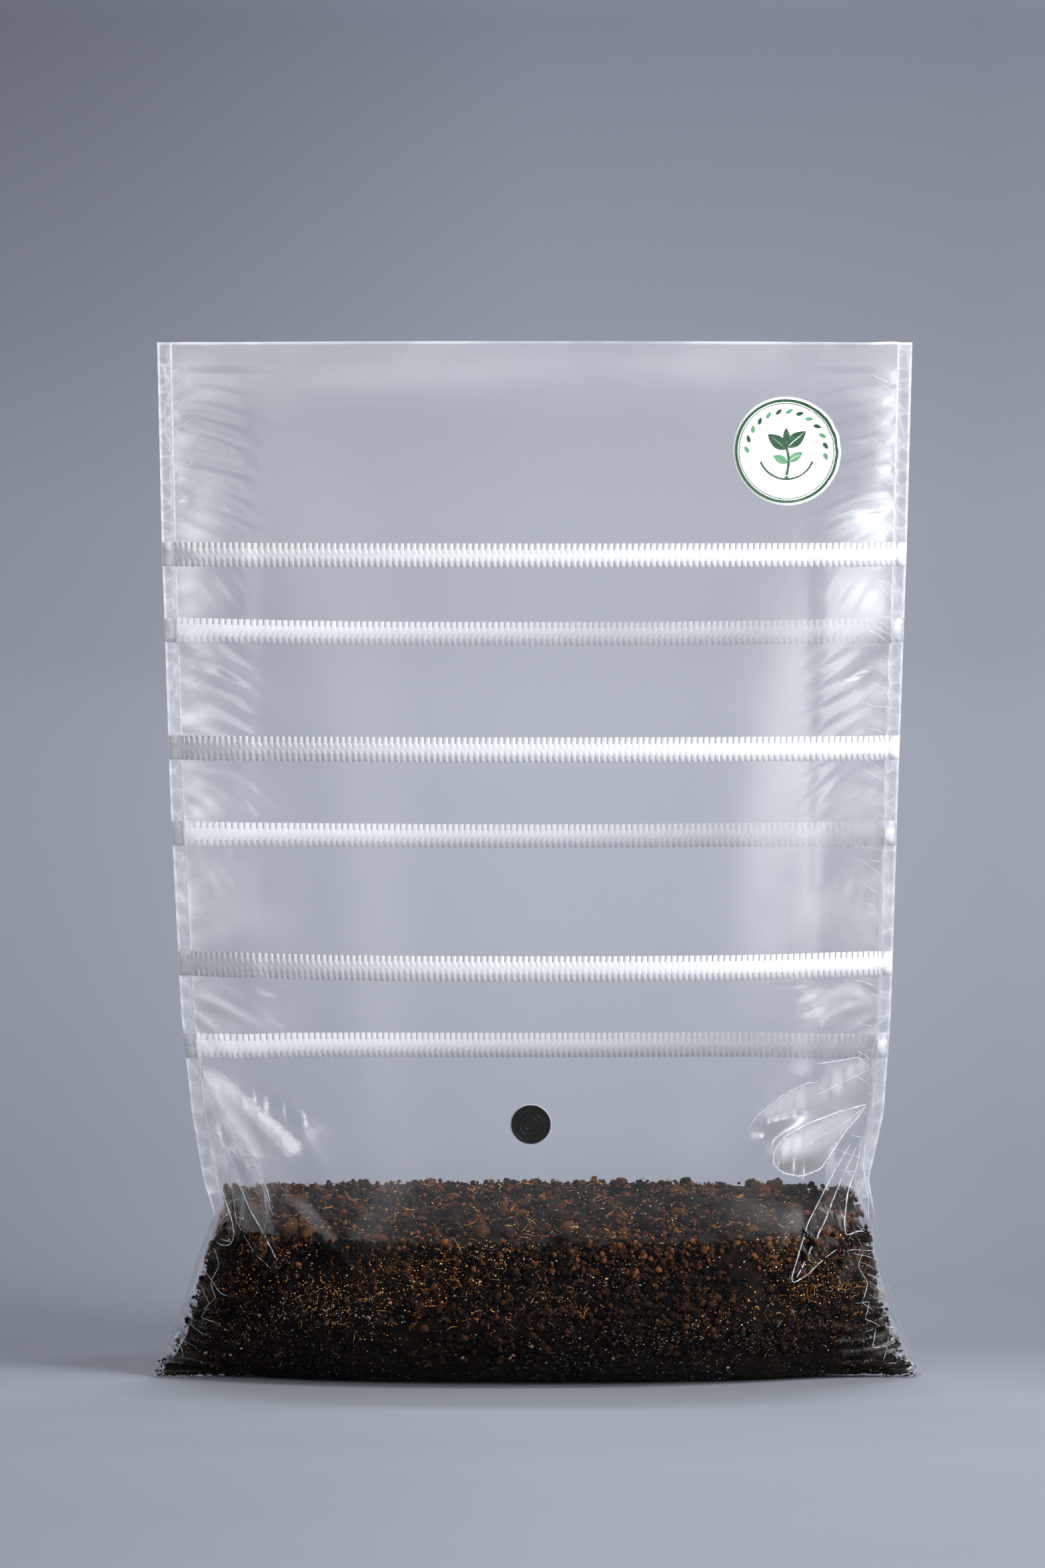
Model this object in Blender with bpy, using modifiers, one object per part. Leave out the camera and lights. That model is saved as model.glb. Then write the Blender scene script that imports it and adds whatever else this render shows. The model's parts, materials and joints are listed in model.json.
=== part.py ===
"""A clear plastic compost bag with six filter strips, standing upright and partly filled.

Metres, +Z up. The front panel faces -Y, and the origin is on the floor under the middle.
The bag is one film sheet, folded at the bottom and welded up both sides. Each panel is a
loft of rows: a row runs from weld to weld, and s goes from -1 at the left weld to 1 at the
right one. The fill, the strips and the label take their places from the same rows.
"""

import math
from collections import namedtuple

import bmesh
import bpy
import numpy as np

COLLECTION = "compost_bag"

# Film bag
BAG_WIDTH = 0.405
BAG_HEIGHT = 0.541
FILM_THICKNESS = 0.0001
WELD_WIDTH = 0.0065
BELLY_DEPTH = 0.128
BELLY_HEIGHT = 0.100
MOUTH_GAP = 0.014
CONTACT_DEPTH = 0.040
FLAT_UNDERSIDE = 0.4

# How far the welds draw in from the flat bag's edge: height, at the left, at the right
WELD_INSETS = (
    (0.000, 0.0000, 0.0005),
    (0.009, 0.0050, 0.0040),
    (0.033, 0.0155, 0.0142),
    (0.060, 0.0240, 0.0210),
    (0.085, 0.0335, 0.0250),
    (0.103, 0.0282, 0.0285),
    (0.138, 0.0222, 0.0208),
    (0.190, 0.0166, 0.0170),
    (0.300, 0.0110, 0.0135),
    (0.434, 0.0065, 0.0087),
    (0.541, 0.0040, 0.0058),
)

# Fullness of a panel's cross-section at the mouth, at the belly and under the bag
MOUTH_FULLNESS = 2.2
BELLY_FULLNESS = 3.0
BASE_FULLNESS = 2.0
TAPER = 2.4
LIFT = 2.3

# Filter strips, from the top down: distance below the mouth, sag in the middle, panel
FRONT = -1
BACK = 1
STRIP_WIDTH = 0.0125
STRIP_THICKNESS = 0.0002
STRIPS = (
    (0.1108, 0.0027, FRONT),
    (0.1503, 0.0005, BACK),
    (0.2119, 0.0017, FRONT),
    (0.2565, 0.0025, BACK),
    (0.3248, 0.0000, FRONT),
    (0.3675, 0.0040, BACK),
)

# Injection port and the clear patch that holds it
PORT_DIAMETER = 0.020
PORT_THICKNESS = 0.0015
PORT_BEVEL = 0.0003
PATCH_DIAMETER = 0.0212
PATCH_THICKNESS = 0.0002
PORT_X = -0.003
PORT_HEIGHT = 0.1400

# Label
LABEL_DIAMETER = 0.0565
LABEL_THICKNESS = 0.00015
LABEL_FROM_EDGE = 0.0725
LABEL_FROM_MOUTH = 0.0570

# Compost, with the height of the lumps on its top and how far apart they are
FRONT_FILL = 0.080
BACK_FILL = 0.100
LUMP_HEIGHT = 0.0060
BROAD_LUMPS = 0.062
CLOSE_LUMPS = 0.039
TOP_STEPS = 12

# Gathers along the welds
GATHER_DEPTH = 0.014
GATHER_REACH = 0.040
GATHER_FADE = 3
GATHER_WANDER = 0.030
GATHERS = (1.0, -0.7)

# Creases and gathers stay shallow where the two panels are close together or near the floor
DEEPEST_SHARE = 0.55
FULL_DEPTH_FROM = 0.012
FULL_DEPTH_ABOVE = 0.020

# Creases: side, start and end as distance in from the flat edge and height, depth, half-width
LEFT = -1
RIGHT = 1
FRONT_CREASES = (
    (LEFT, 0.0280, 0.164, 0.0587, 0.118, -0.0060, 0.0080),
    (LEFT, 0.0587, 0.118, 0.0697, 0.090, -0.0060, 0.0080),
    (LEFT, 0.0325, 0.134, 0.0714, 0.063, -0.0070, 0.0080),
    (LEFT, 0.0285, 0.162, 0.0854, 0.129, -0.0060, 0.0080),
    (LEFT, 0.0465, 0.148, 0.0775, 0.113, 0.0090, 0.0085),
    (LEFT, 0.0405, 0.129, 0.0705, 0.078, 0.0090, 0.0080),
    (LEFT, 0.0385, 0.109, 0.0697, 0.056, 0.0080, 0.0065),
    (RIGHT, 0.0278, 0.145, 0.0822, 0.124, -0.0060, 0.0080),
    (RIGHT, 0.0345, 0.130, 0.0723, 0.055, -0.0070, 0.0080),
    (RIGHT, 0.0278, 0.162, 0.0645, 0.156, -0.0050, 0.0080),
    (RIGHT, 0.0425, 0.130, 0.0735, 0.117, 0.0090, 0.0080),
    (RIGHT, 0.0415, 0.105, 0.0595, 0.070, 0.0080, 0.0065),
    (RIGHT, 0.0385, 0.154, 0.0825, 0.138, 0.0080, 0.0080),
)
BACK_CREASES = (
    (LEFT, 0.0280, 0.158, 0.0695, 0.086, -0.0060, 0.0080),
    (LEFT, 0.0325, 0.132, 0.0675, 0.062, -0.0070, 0.0080),
    (LEFT, 0.0445, 0.142, 0.0795, 0.101, 0.0090, 0.0085),
    (LEFT, 0.0385, 0.122, 0.0665, 0.074, 0.0080, 0.0065),
    (RIGHT, 0.0280, 0.162, 0.0695, 0.088, -0.0060, 0.0080),
    (RIGHT, 0.0325, 0.135, 0.0595, 0.060, -0.0070, 0.0080),
    (RIGHT, 0.0425, 0.148, 0.0745, 0.110, 0.0090, 0.0085),
    (RIGHT, 0.0395, 0.119, 0.0605, 0.074, 0.0080, 0.0065),
)

# Clearance between touching pieces, and the fineness of the lofts
GAP = 0.0003
FILL_GAP = 0.0005
COLUMNS = 26
ROW_SPACING = 0.0205
CORNER_STEPS = 3
ROUND_SIDES = 48

CORNER_RADIUS = (BELLY_DEPTH - CONTACT_DEPTH) / 2

Row = namedtuple("Row", "weld_z middle_z depth fullness flat gather")


def weld_edge(side, height):
    """Distance of the weld's outer edge from the middle, on the left (-1) or right (1)."""
    heights = [point[0] for point in WELD_INSETS]
    insets = [point[1 if side < 0 else 2] for point in WELD_INSETS]
    return BAG_WIDTH / 2 - float(np.interp(height, heights, insets))


def strip_height(drop):
    """Height at the welds of a strip that lies this far below the mouth."""
    return BAG_HEIGHT - drop


def sag(height):
    """How far the middle of a row hangs below its ends."""
    heights = [0.0] + [strip_height(strip[0]) for strip in reversed(STRIPS)] + [BAG_HEIGHT]
    sags = [0.0] + [strip[1] for strip in reversed(STRIPS)] + [0.0]
    return float(np.interp(height, heights, sags))


def wall_row(height, gather=0.0):
    """A row of the upright walls, from the top of the base corner to the mouth."""
    rise = max(0.0, height - BELLY_HEIGHT) / (BAG_HEIGHT - BELLY_HEIGHT)
    bulge = (BELLY_DEPTH - MOUTH_GAP) / 2 * (1 - min(1.0, rise) ** TAPER)
    fullness = BELLY_FULLNESS + (MOUTH_FULLNESS - BELLY_FULLNESS) * rise
    return Row(height, height - sag(height), MOUTH_GAP / 2 + bulge, fullness, 0.0, gather)


def corner_row(turn):
    """A row of the rounded base corner, where turn goes from 0 at the wall to 1 at the floor."""
    angle = turn * math.pi / 2
    arc = CORNER_RADIUS * math.pi / 2
    weld_z = CORNER_RADIUS * (1 - turn * arc / (arc + CONTACT_DEPTH / 2))
    middle_z = CORNER_RADIUS * (1 - math.sin(angle))
    depth = CONTACT_DEPTH / 2 + CORNER_RADIUS * math.cos(angle)
    fullness = BELLY_FULLNESS + (BASE_FULLNESS - BELLY_FULLNESS) * turn
    return Row(weld_z, middle_z, depth, fullness, FLAT_UNDERSIDE, 0.0)


def rows():
    """Every row from the mouth down to the bottom fold, with one on each edge of each strip."""
    edges = [BAG_HEIGHT]
    for drop, _, _ in STRIPS:
        edges += [strip_height(drop) + STRIP_WIDTH / 2, strip_height(drop) - STRIP_WIDTH / 2]
    edges += [BACK_FILL, FRONT_FILL, CORNER_RADIUS]
    result = []
    for upper, lower in zip(edges, edges[1:]):
        result.append(wall_row(upper))
        steps = math.ceil((upper - lower) / ROW_SPACING)
        for step in range(1, steps):
            gather = GATHERS[(step - 1) % len(GATHERS)]
            result.append(wall_row(upper + (lower - upper) * step / steps, gather))
    for step in range(CORNER_STEPS + 1):
        result.append(corner_row(step / CORNER_STEPS))
    result.append(Row(0.0, 0.0, 0.0, BASE_FULLNESS, FLAT_UNDERSIDE, 0.0))
    return result


def columns():
    """Values of s from weld to weld, closer together near the welds."""
    half = COLUMNS // 2
    right = [0.6 * j / half + 0.4 * math.sin(math.pi / 2 * j / half) for j in range(half + 1)]
    return [-s for s in reversed(right[1:])] + right


def distance_to_crease(x, z, side, start, z0, end, z1):
    """Distance from a point to a crease line."""
    x0, x1 = side * (BAG_WIDTH / 2 - start), side * (BAG_WIDTH / 2 - end)
    along = ((x - x0) * (x1 - x0) + (z - z0) * (z1 - z0)) / ((x1 - x0) ** 2 + (z1 - z0) ** 2)
    along = min(1.0, max(0.0, along))
    return math.hypot(x - x0 - along * (x1 - x0), z - z0 - along * (z1 - z0))


def pushed_in(panel, s, x, z, row):
    """How far gathers and creases push a point of a panel towards the inside."""
    from_weld = (1 - abs(s)) * weld_edge(s, row.weld_z)
    phase = 2 * math.pi * row.weld_z / GATHER_WANDER + 2 * panel + math.copysign(1, s)
    wander = 0.7 + 0.3 * math.sin(phase)
    fading = max(0.0, 1 - from_weld / GATHER_REACH) ** GATHER_FADE
    depth = GATHER_DEPTH * row.gather * wander * fading
    for *line, deep, half_width in FRONT_CREASES if panel == FRONT else BACK_CREASES:
        away = distance_to_crease(x, z, *line) / half_width
        depth += deep * math.exp(-away * away)
    return depth


def film_point(panel, s, row):
    """A point in the middle of the film's thickness, on the front (-1) or back (1) panel."""
    x = s * (weld_edge(s, row.weld_z) - WELD_WIDTH)
    lifted = (max(0.0, abs(s) - row.flat) / (1 - row.flat)) ** LIFT
    z = row.middle_z + (row.weld_z - row.middle_z) * lifted
    out = row.depth * (1 - abs(s) ** row.fullness)
    push = pushed_in(panel, s, x, z, row) * min(1.0, out / FULL_DEPTH_FROM)
    out -= min(push * min(1.0, z / FULL_DEPTH_ABOVE), DEEPEST_SHARE * out)
    return x, panel * out, z + FILM_THICKNESS / 2


def weld_point(side, row):
    """A point on the outer edge of a weld."""
    return side * weld_edge(side, row.weld_z), 0.0, row.weld_z + FILM_THICKNESS / 2


def principled(name, color, roughness, alpha=1.0):
    """One Principled material."""
    material = bpy.data.materials.new(name)
    material.use_nodes = True
    shader = material.node_tree.nodes["Principled BSDF"]
    shader.inputs["Base Color"].default_value = (*color, 1.0)
    shader.inputs["Roughness"].default_value = roughness
    shader.inputs["Metallic"].default_value = 0.0
    shader.inputs["Alpha"].default_value = alpha
    return material


def shape_to_object(name, shape, material):
    """Make the object of a finished shape and put it in the part's collection."""
    bmesh.ops.recalc_face_normals(shape, faces=shape.faces)
    mesh = bpy.data.meshes.new(name)
    shape.to_mesh(mesh)
    shape.free()
    mesh.materials.append(material)
    piece = bpy.data.objects.new(name, mesh)
    bpy.data.collections[COLLECTION].objects.link(piece)
    return piece


def add_loft(name, grids, material):
    """Join neighbouring lines of points with triangles; equal points become one vertex."""
    shape = bmesh.new()
    made = {}

    def vertex(point):
        key = tuple(round(value, 8) for value in point)
        if key not in made:
            made[key] = shape.verts.new(point)
        return made[key]

    for lines in grids:
        grid = [[vertex(point) for point in line] for line in lines]
        for upper, lower in zip(grid, grid[1:]):
            middle = len(upper) // 2
            for j in range(len(upper) - 1):
                a, b, c, d = upper[j], lower[j], lower[j + 1], upper[j + 1]
                pair = ((a, b, d), (d, b, c)) if j < middle else ((a, b, c), (a, c, d))
                for corners in pair:
                    shape.faces.new(corners)
    return shape_to_object(name, shape, material)


def thicken(piece, thickness, mode="EXTRUDE"):
    """Give an open sheet its thickness, half on each side."""
    wall = piece.modifiers.new("thickness", "SOLIDIFY")
    wall.solidify_mode = mode
    wall.thickness = thickness
    wall.offset = 0.0
    wall.nonmanifold_merge_threshold = 1e-7


def make_film_bag():
    """The two panels, joined at the bottom fold and at the welds, and the two weld flanges."""
    levels = rows()
    panels = [
        [[film_point(panel, s, row) for s in columns()] for row in levels]
        for panel in (FRONT, BACK)
    ]
    flanges = [
        [[film_point(FRONT, side, row), weld_point(side, row)] for row in levels]
        for side in (-1, 1)
    ]
    clear_film = principled("clear_film", (0.80, 0.82, 0.86), 0.12, alpha=0.3)
    bag = add_loft("film_bag", panels + flanges, clear_film)
    thicken(bag, FILM_THICKNESS, "NON_MANIFOLD")


def lump(x, y):
    """How far the compost's top stands above an even slope, as a share of the lumps' height."""
    broad_x, broad_y = 2 * math.pi * x / BROAD_LUMPS, 2 * math.pi * y / BROAD_LUMPS
    close_x, close_y = 2 * math.pi * x / CLOSE_LUMPS, 2 * math.pi * y / CLOSE_LUMPS
    broad = math.sin(broad_x + 1.0) * math.cos(broad_y - 0.4 * broad_x)
    return 0.6 * broad + 0.6 * math.sin(close_x + broad_y + 2.0) * math.cos(close_y)


def fill_top(front_rim, back_rim):
    """Lines of points over the top of the compost, from its front rim to its back rim."""
    lines = []
    for step in range(TOP_STEPS + 1):
        share = step / TOP_STEPS
        line = []
        for s, front, back in zip(columns()[1:-1], front_rim, back_rim):
            x, y, z = (a + (b - a) * share for a, b in zip(front, back))
            inside = min(1.0, 5 * share, 5 * (1 - share)) * (1 - s**4)
            line.append((x, y, z + LUMP_HEIGHT * lump(x, y) * inside))
        lines.append(line)
    return lines


def make_compost():
    """The loose fill as one solid with a lumpy top, clear of the film all round."""

    def inside(panel, s, row):
        x, y, z = film_point(panel, s, row)
        under = FILL_GAP * min(1.0, abs(row.middle_z - CORNER_RADIUS) / CORNER_RADIUS)
        raised = under if row.flat else 0.0
        return x, panel * max(0.0, abs(y) - FILL_GAP), z + raised

    def wall(panel, top):
        levels = [row for row in rows() if row.weld_z < top + GAP]
        return [[inside(panel, s, row) for s in columns()[1:-1]] for row in levels]

    front, back = wall(FRONT, FRONT_FILL), wall(BACK, BACK_FILL)
    soil = principled("compost", (0.030, 0.020, 0.014), 0.9)
    compost = add_loft("compost", [front, back, fill_top(front[0], back[0])], soil)
    close_ends(compost)


def close_ends(piece):
    """Fill the two open ends of a loft and turn its faces outwards."""
    shape = bmesh.new()
    shape.from_mesh(piece.data)
    bmesh.ops.holes_fill(shape, edges=[edge for edge in shape.edges if edge.is_boundary])
    bmesh.ops.triangulate(shape, faces=[face for face in shape.faces if len(face.verts) > 3])
    bmesh.ops.recalc_face_normals(shape, faces=shape.faces)
    shape.to_mesh(piece.data)
    shape.free()


def make_filter_strips():
    """Six strips, each over its panel from weld edge to weld edge."""
    membrane = principled("filter_membrane", (0.82, 0.83, 0.85), 0.6)
    away = (FILM_THICKNESS + STRIP_THICKNESS) / 2 + GAP
    for number, (drop, _, panel) in enumerate(STRIPS, start=1):
        height = strip_height(drop)
        lines = []
        for row in (wall_row(height + STRIP_WIDTH / 2), wall_row(height - STRIP_WIDTH / 2)):
            line = [weld_point(-1, row)]
            line += [film_point(panel, s, row) for s in columns()]
            line.append(weld_point(1, row))
            lines.append([(x, y + panel * away, z) for x, y, z in line])
        strip = add_loft(f"filter_strip_{number}", [lines], membrane)
        thicken(strip, STRIP_THICKNESS)


def on_front(dx, dz, x, height):
    """The film's middle surface at an offset from a place on the front panel."""
    row = wall_row(height + dz)
    return film_point(FRONT, (x + dx) / (weld_edge(x, row.weld_z) - WELD_WIDTH), row)


def add_disc(name, diameter, thickness, x, height, under, material):
    """A thin round piece that follows the front panel, with its back face over the film."""
    shape = bmesh.new()
    bmesh.ops.create_cone(
        shape, cap_ends=True, cap_tris=True, segments=ROUND_SIDES,
        radius1=diameter / 2, radius2=diameter / 2, depth=thickness,
    )
    spokes = [edge for edge in shape.edges if any(v.co.xy.length < GAP for v in edge.verts)]
    bmesh.ops.subdivide_edges(shape, edges=spokes, cuts=1)
    bmesh.ops.triangulate(shape, faces=shape.faces)
    for vertex in shape.verts:
        dx, dz, level = vertex.co
        place = on_front(dx, dz, x, height)
        vertex.co = (place[0], place[1] - under - thickness / 2 - level, place[2])
    return shape_to_object(name, shape, material)


def make_port():
    """The rubber disc and the clear patch behind it."""
    patch_under = FILM_THICKNESS / 2 + GAP
    clear = principled("clear_adhesive", (0.85, 0.87, 0.90), 0.2, alpha=0.5)
    add_disc("port_adhesive", PATCH_DIAMETER, PATCH_THICKNESS, PORT_X, PORT_HEIGHT, patch_under, clear)
    rubber = principled("black_rubber", (0.004, 0.004, 0.004), 0.45)
    port_under = patch_under + PATCH_THICKNESS + GAP
    port = add_disc("injection_port", PORT_DIAMETER, PORT_THICKNESS, PORT_X, PORT_HEIGHT, port_under, rubber)
    edge = port.modifiers.new("rounded_rim", "BEVEL")
    edge.width = PORT_BEVEL
    edge.segments = 1
    edge.limit_method = "ANGLE"


def make_label():
    """The round sticker near the top right corner."""
    paper = principled("label_paper", (0.90, 0.93, 0.90), 0.4)
    under = FILM_THICKNESS / 2 + GAP
    x = BAG_WIDTH / 2 - LABEL_FROM_EDGE
    height = BAG_HEIGHT - LABEL_FROM_MOUTH
    add_disc("label", LABEL_DIAMETER, LABEL_THICKNESS, x, height, under, paper)


def main():
    """Clear the scene and build every piece."""
    for thing in list(bpy.data.objects):
        bpy.data.objects.remove(thing)
    bpy.context.scene.collection.children.link(bpy.data.collections.new(COLLECTION))
    make_film_bag()
    make_compost()
    make_filter_strips()
    make_port()
    make_label()


main()
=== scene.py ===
"""The compost bag as the camera sees it: clear film, filter strips, compost, port and label.

Metres, +Z up, the front panel faces -Y and the floor is at z = 0. The film is one sheet that
runs down the front, round the bottom fold and up the back. Everything else takes its place
from that sheet.
"""

import json
import math
from functools import partial

import bpy
import numpy as np
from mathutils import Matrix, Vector, noise

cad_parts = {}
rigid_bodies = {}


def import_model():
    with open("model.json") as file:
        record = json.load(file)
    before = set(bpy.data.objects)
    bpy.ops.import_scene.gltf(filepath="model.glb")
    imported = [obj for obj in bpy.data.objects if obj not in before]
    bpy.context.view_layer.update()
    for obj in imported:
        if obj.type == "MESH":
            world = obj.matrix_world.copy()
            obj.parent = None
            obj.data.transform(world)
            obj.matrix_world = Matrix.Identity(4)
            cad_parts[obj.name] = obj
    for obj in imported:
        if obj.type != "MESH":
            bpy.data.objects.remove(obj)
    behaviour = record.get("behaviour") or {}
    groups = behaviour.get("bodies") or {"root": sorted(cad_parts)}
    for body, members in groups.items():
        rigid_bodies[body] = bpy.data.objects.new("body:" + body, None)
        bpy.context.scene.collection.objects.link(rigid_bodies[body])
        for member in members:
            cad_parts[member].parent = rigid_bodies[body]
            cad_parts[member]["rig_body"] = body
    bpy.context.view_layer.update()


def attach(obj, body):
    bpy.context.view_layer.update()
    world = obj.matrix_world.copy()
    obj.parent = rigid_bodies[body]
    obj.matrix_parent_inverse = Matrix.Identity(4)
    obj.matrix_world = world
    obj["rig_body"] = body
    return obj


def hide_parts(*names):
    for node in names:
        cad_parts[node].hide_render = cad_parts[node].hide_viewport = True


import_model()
bpy.ops.object.select_all(action="DESELECT")

# The part's own measures
BAG_WIDTH = 0.405
BAG_HEIGHT = 0.541
WELD_WIDTH = 0.0065
WELD_LINE = 0.0004
MILKY_MOUTH = 0.045
BELLY_DEPTH = 0.128
BELLY_HEIGHT = 0.100
MOUTH_GAP = 0.014
CONTACT_DEPTH = 0.040
CORNER_RADIUS = (BELLY_DEPTH - CONTACT_DEPTH) / 2
FLAT_UNDERSIDE = 0.4
MOUTH_FULLNESS = 2.2
BELLY_FULLNESS = 3.0
BASE_FULLNESS = 2.0
TAPER = 2.4
LIFT = 2.3

# How far the welds draw in from the flat bag's edge: height, at the left, at the right
WELD_INSETS = (
    (0.000, 0.0000, 0.0005),
    (0.009, 0.0050, 0.0040),
    (0.033, 0.0155, 0.0142),
    (0.060, 0.0240, 0.0210),
    (0.085, 0.0335, 0.0250),
    (0.103, 0.0282, 0.0285),
    (0.138, 0.0222, 0.0208),
    (0.190, 0.0166, 0.0170),
    (0.300, 0.0110, 0.0135),
    (0.434, 0.0065, 0.0087),
    (0.541, 0.0040, 0.0058),
)

# Filter strips from the top down: distance below the mouth, sag in the middle, panel
FRONT = -1
BACK = 1
STRIP_WIDTH = 0.0125
STRIPS = (
    (0.1108, 0.0027, FRONT),
    (0.1503, 0.0005, BACK),
    (0.2119, 0.0017, FRONT),
    (0.2565, 0.0025, BACK),
    (0.3248, 0.0000, FRONT),
    (0.3675, 0.0040, BACK),
)

FRONT_FILL = 0.080
BACK_FILL = 0.100
LUMP_HEIGHT = 0.0060
SOFT_LIMIT = 0.028
DULL_SPECULAR = 0.10
MOIST_SPECULAR = 0.45
BROAD_LUMPS = 0.062
CLOSE_LUMPS = 0.039
PORT_X = -0.003
PORT_HEIGHT = 0.1400
PORT_RADIUS = 0.0100
PORT_THICKNESS = 0.0015
PORT_LIFT = 0.0009
LABEL_X = 0.130
LABEL_HEIGHT = 0.484
LABEL_RADIUS = 0.02825
LABEL_THICKNESS = 0.00015
LABEL_LIFT = 0.0004

# Gathers along the welds, in the order of the part's rows
GATHER_DEPTH = 0.014
GATHER_REACH = 0.040
GATHERS = (1.0, -0.7)
PART_ROW_SPACING = 0.0205

# The drawn tables hold lengths as whole tenths or hundredths of a millimetre
TENTHS = 10000
HUNDREDTHS = 100000


def unpacked(units, table):
    """Rows of leading values and then points x, z, x, z ... in tenths of a millimetre, in metres."""
    rows = []
    for row in table:
        lead = [value / unit for value, unit in zip(row, units)]
        places = [value / TENTHS for value in row[len(units):]]
        rows.append((*lead, tuple(zip(places[::2], places[1::2]))))
    return tuple(rows)


# Folds at the lower corners: how far they stand out or in, half-width, points as x and z
FRONT_FOLDS = unpacked((TENTHS, TENTHS), (
    (80, 55, -1745, 1640, -1578, 1423, -1438, 1183, -1328, 902),
    (95, 50, -1700, 1340, -1500, 988, -1311, 631),
    (70, 40, -1715, 1324, -1605, 902, -1571, 779, -1643, 693),
    (70, 50, -1740, 1660, -1541, 1560, -1350, 1432, -1171, 1292),
    (-90, 60, -1560, 1480, -1350, 1300, -1250, 1130),
    (-95, 50, -1620, 1290, -1450, 1020, -1320, 780),
    (-80, 40, -1640, 1090, -1551, 880, -1458, 659, -1328, 560),
    (80, 55, 1747, 1447, 1450, 1340, 1203, 1241, 1200, 1115, 1364, 1061),
    (95, 50, 1680, 1300, 1473, 857, 1302, 552, 1430, 590, 1545, 707),
    (70, 40, 1703, 1255, 1610, 803, 1640, 720, 1720, 779),
    (60, 50, 1747, 1700, 1560, 1620, 1380, 1560),
    (-90, 60, 1600, 1300, 1450, 1200, 1290, 1170),
    (-95, 50, 1610, 1050, 1540, 900, 1430, 700),
    (-80, 60, 1640, 1540, 1440, 1450, 1200, 1380),
))
BACK_FOLDS = unpacked((TENTHS, TENTHS), (
    (80, 55, -1745, 1580, -1520, 1240, -1330, 860),
    (90, 50, -1700, 1320, -1560, 940, -1350, 620),
    (70, 50, -1740, 1620, -1490, 1480, -1230, 1360),
    (-90, 60, -1580, 1420, -1380, 1210, -1230, 1010),
    (-90, 50, -1640, 1220, -1450, 900, -1360, 740),
    (80, 55, 1745, 1620, 1490, 1280, 1330, 880),
    (90, 50, 1700, 1350, 1580, 900, 1430, 600),
    (70, 50, 1740, 1660, 1500, 1560, 1270, 1400),
    (-90, 60, 1600, 1480, 1400, 1300, 1280, 1100),
    (-90, 50, 1630, 1190, 1500, 960, 1420, 740),
))

# The film sheet's grid
ROW_STEP = 0.0023
FINE_STEP = 0.0021
COARSE_STEP = 0.0055
FINE_REACH = 0.078
FOLD_ROWS = 5
FLANGE_COLUMNS = 5

SEED = 11

# Soft lobes beside the welds, above the compost
EAR_HEIGHT = 0.098
EAR_FADE = 0.020
FLANGE_TURN = 0.0036
FLANGE_CLEAR_HEIGHT = 0.095
FLANGE_WAVE = 0.0007
FLANGE_WAVE_LENGTH = 0.011
LOBE_HEIGHT = 0.0022
# Painted sheen on those lobes, left and right: white where the puckers catch the light
LOBE_PAINTED_SHEEN = (0.30, 0.46)

# Painted highlights on the folded film, mostly the flaps at the lower corners: strength and outline, as x
# and z
FLAP_HIGHLIGHTS = unpacked((1,), (
    (0.62, -1754, 1619, -1654, 1612, -1543, 1519, -1416, 1413, -1292, 1320, -1209, 1247, -1220, 1202,
        -1271, 1175, -1344, 1185, -1423, 1171, -1471, 1158, -1581, 1320, -1688, 1485),
    (0.17, -1743, 1571, -1636, 1416, -1482, 1140, -1395, 986, -1316, 614, -1488, 903, -1616, 1213,
        -1688, 1320),
    (0.09, -1581, 958, -1537, 975, -1416, 779, -1316, 614, -1364, 596, -1471, 686, -1564, 831),
    (0.24, -1688, 1320, -1681, 1213, -1671, 1085, -1626, 941, -1581, 813, -1571, 741, -1599, 696,
        -1654, 703, -1716, 758, -1740, 1020),
    (0.14, -1280, 970, -1180, 960, -1040, 800, -885, 615, -945, 625, -1100, 770, -1220, 880),
    (0.05, -638, 1330, -362, 1468, -844, 710, -982, 779),
    (0.5, 1449, 1495, 1497, 1588, 1652, 1647, 1749, 1626, 1711, 1578, 1573, 1523),
    (0.9, 1721, 1430, 1577, 1402, 1397, 1347, 1270, 1285, 1212, 1213, 1215, 1140, 1270, 1096, 1360,
        1075, 1470, 1103, 1542, 1196, 1614, 1302),
    (0.46, 1459, 1564, 1387, 1557, 1270, 1502, 1125, 1392, 1187, 1192, 1397, 1347, 1577, 1402, 1721,
        1450),
    (0.1, 1632, 1230, 1521, 1048, 1397, 831, 1305, 559, 1397, 579, 1487, 651, 1559, 696, 1621, 975,
        1676, 1120, 1694, 1247),
    (0.18, 1559, 521, 1587, 641, 1670, 689, 1694, 662, 1649, 565, 1594, 497),
    (0.1, 1497, 917, 1539, 986, 1573, 930, 1552, 779, 1511, 772),
    (0.24, 1738, 159, 1766, 252, 1814, 266, 1831, 221, 1790, 131),
    (0.35, 1690, 1247, 1766, 1330, 1718, 1502, 1759, 1599, 1780, 1295, 1745, 1089, 1704, 986),
    (0.74, 1340, 2045, 1500, 2045, 1630, 2085, 1740, 2045, 1700, 1990, 1600, 1960, 1530, 1905, 1470,
        1830, 1440, 1900, 1400, 1980),
    (0.6, 1490, 1655, 1720, 1660, 1765, 1580, 1760, 1450, 1700, 1400, 1580, 1390, 1480, 1410, 1460,
        1520),
))
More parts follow.
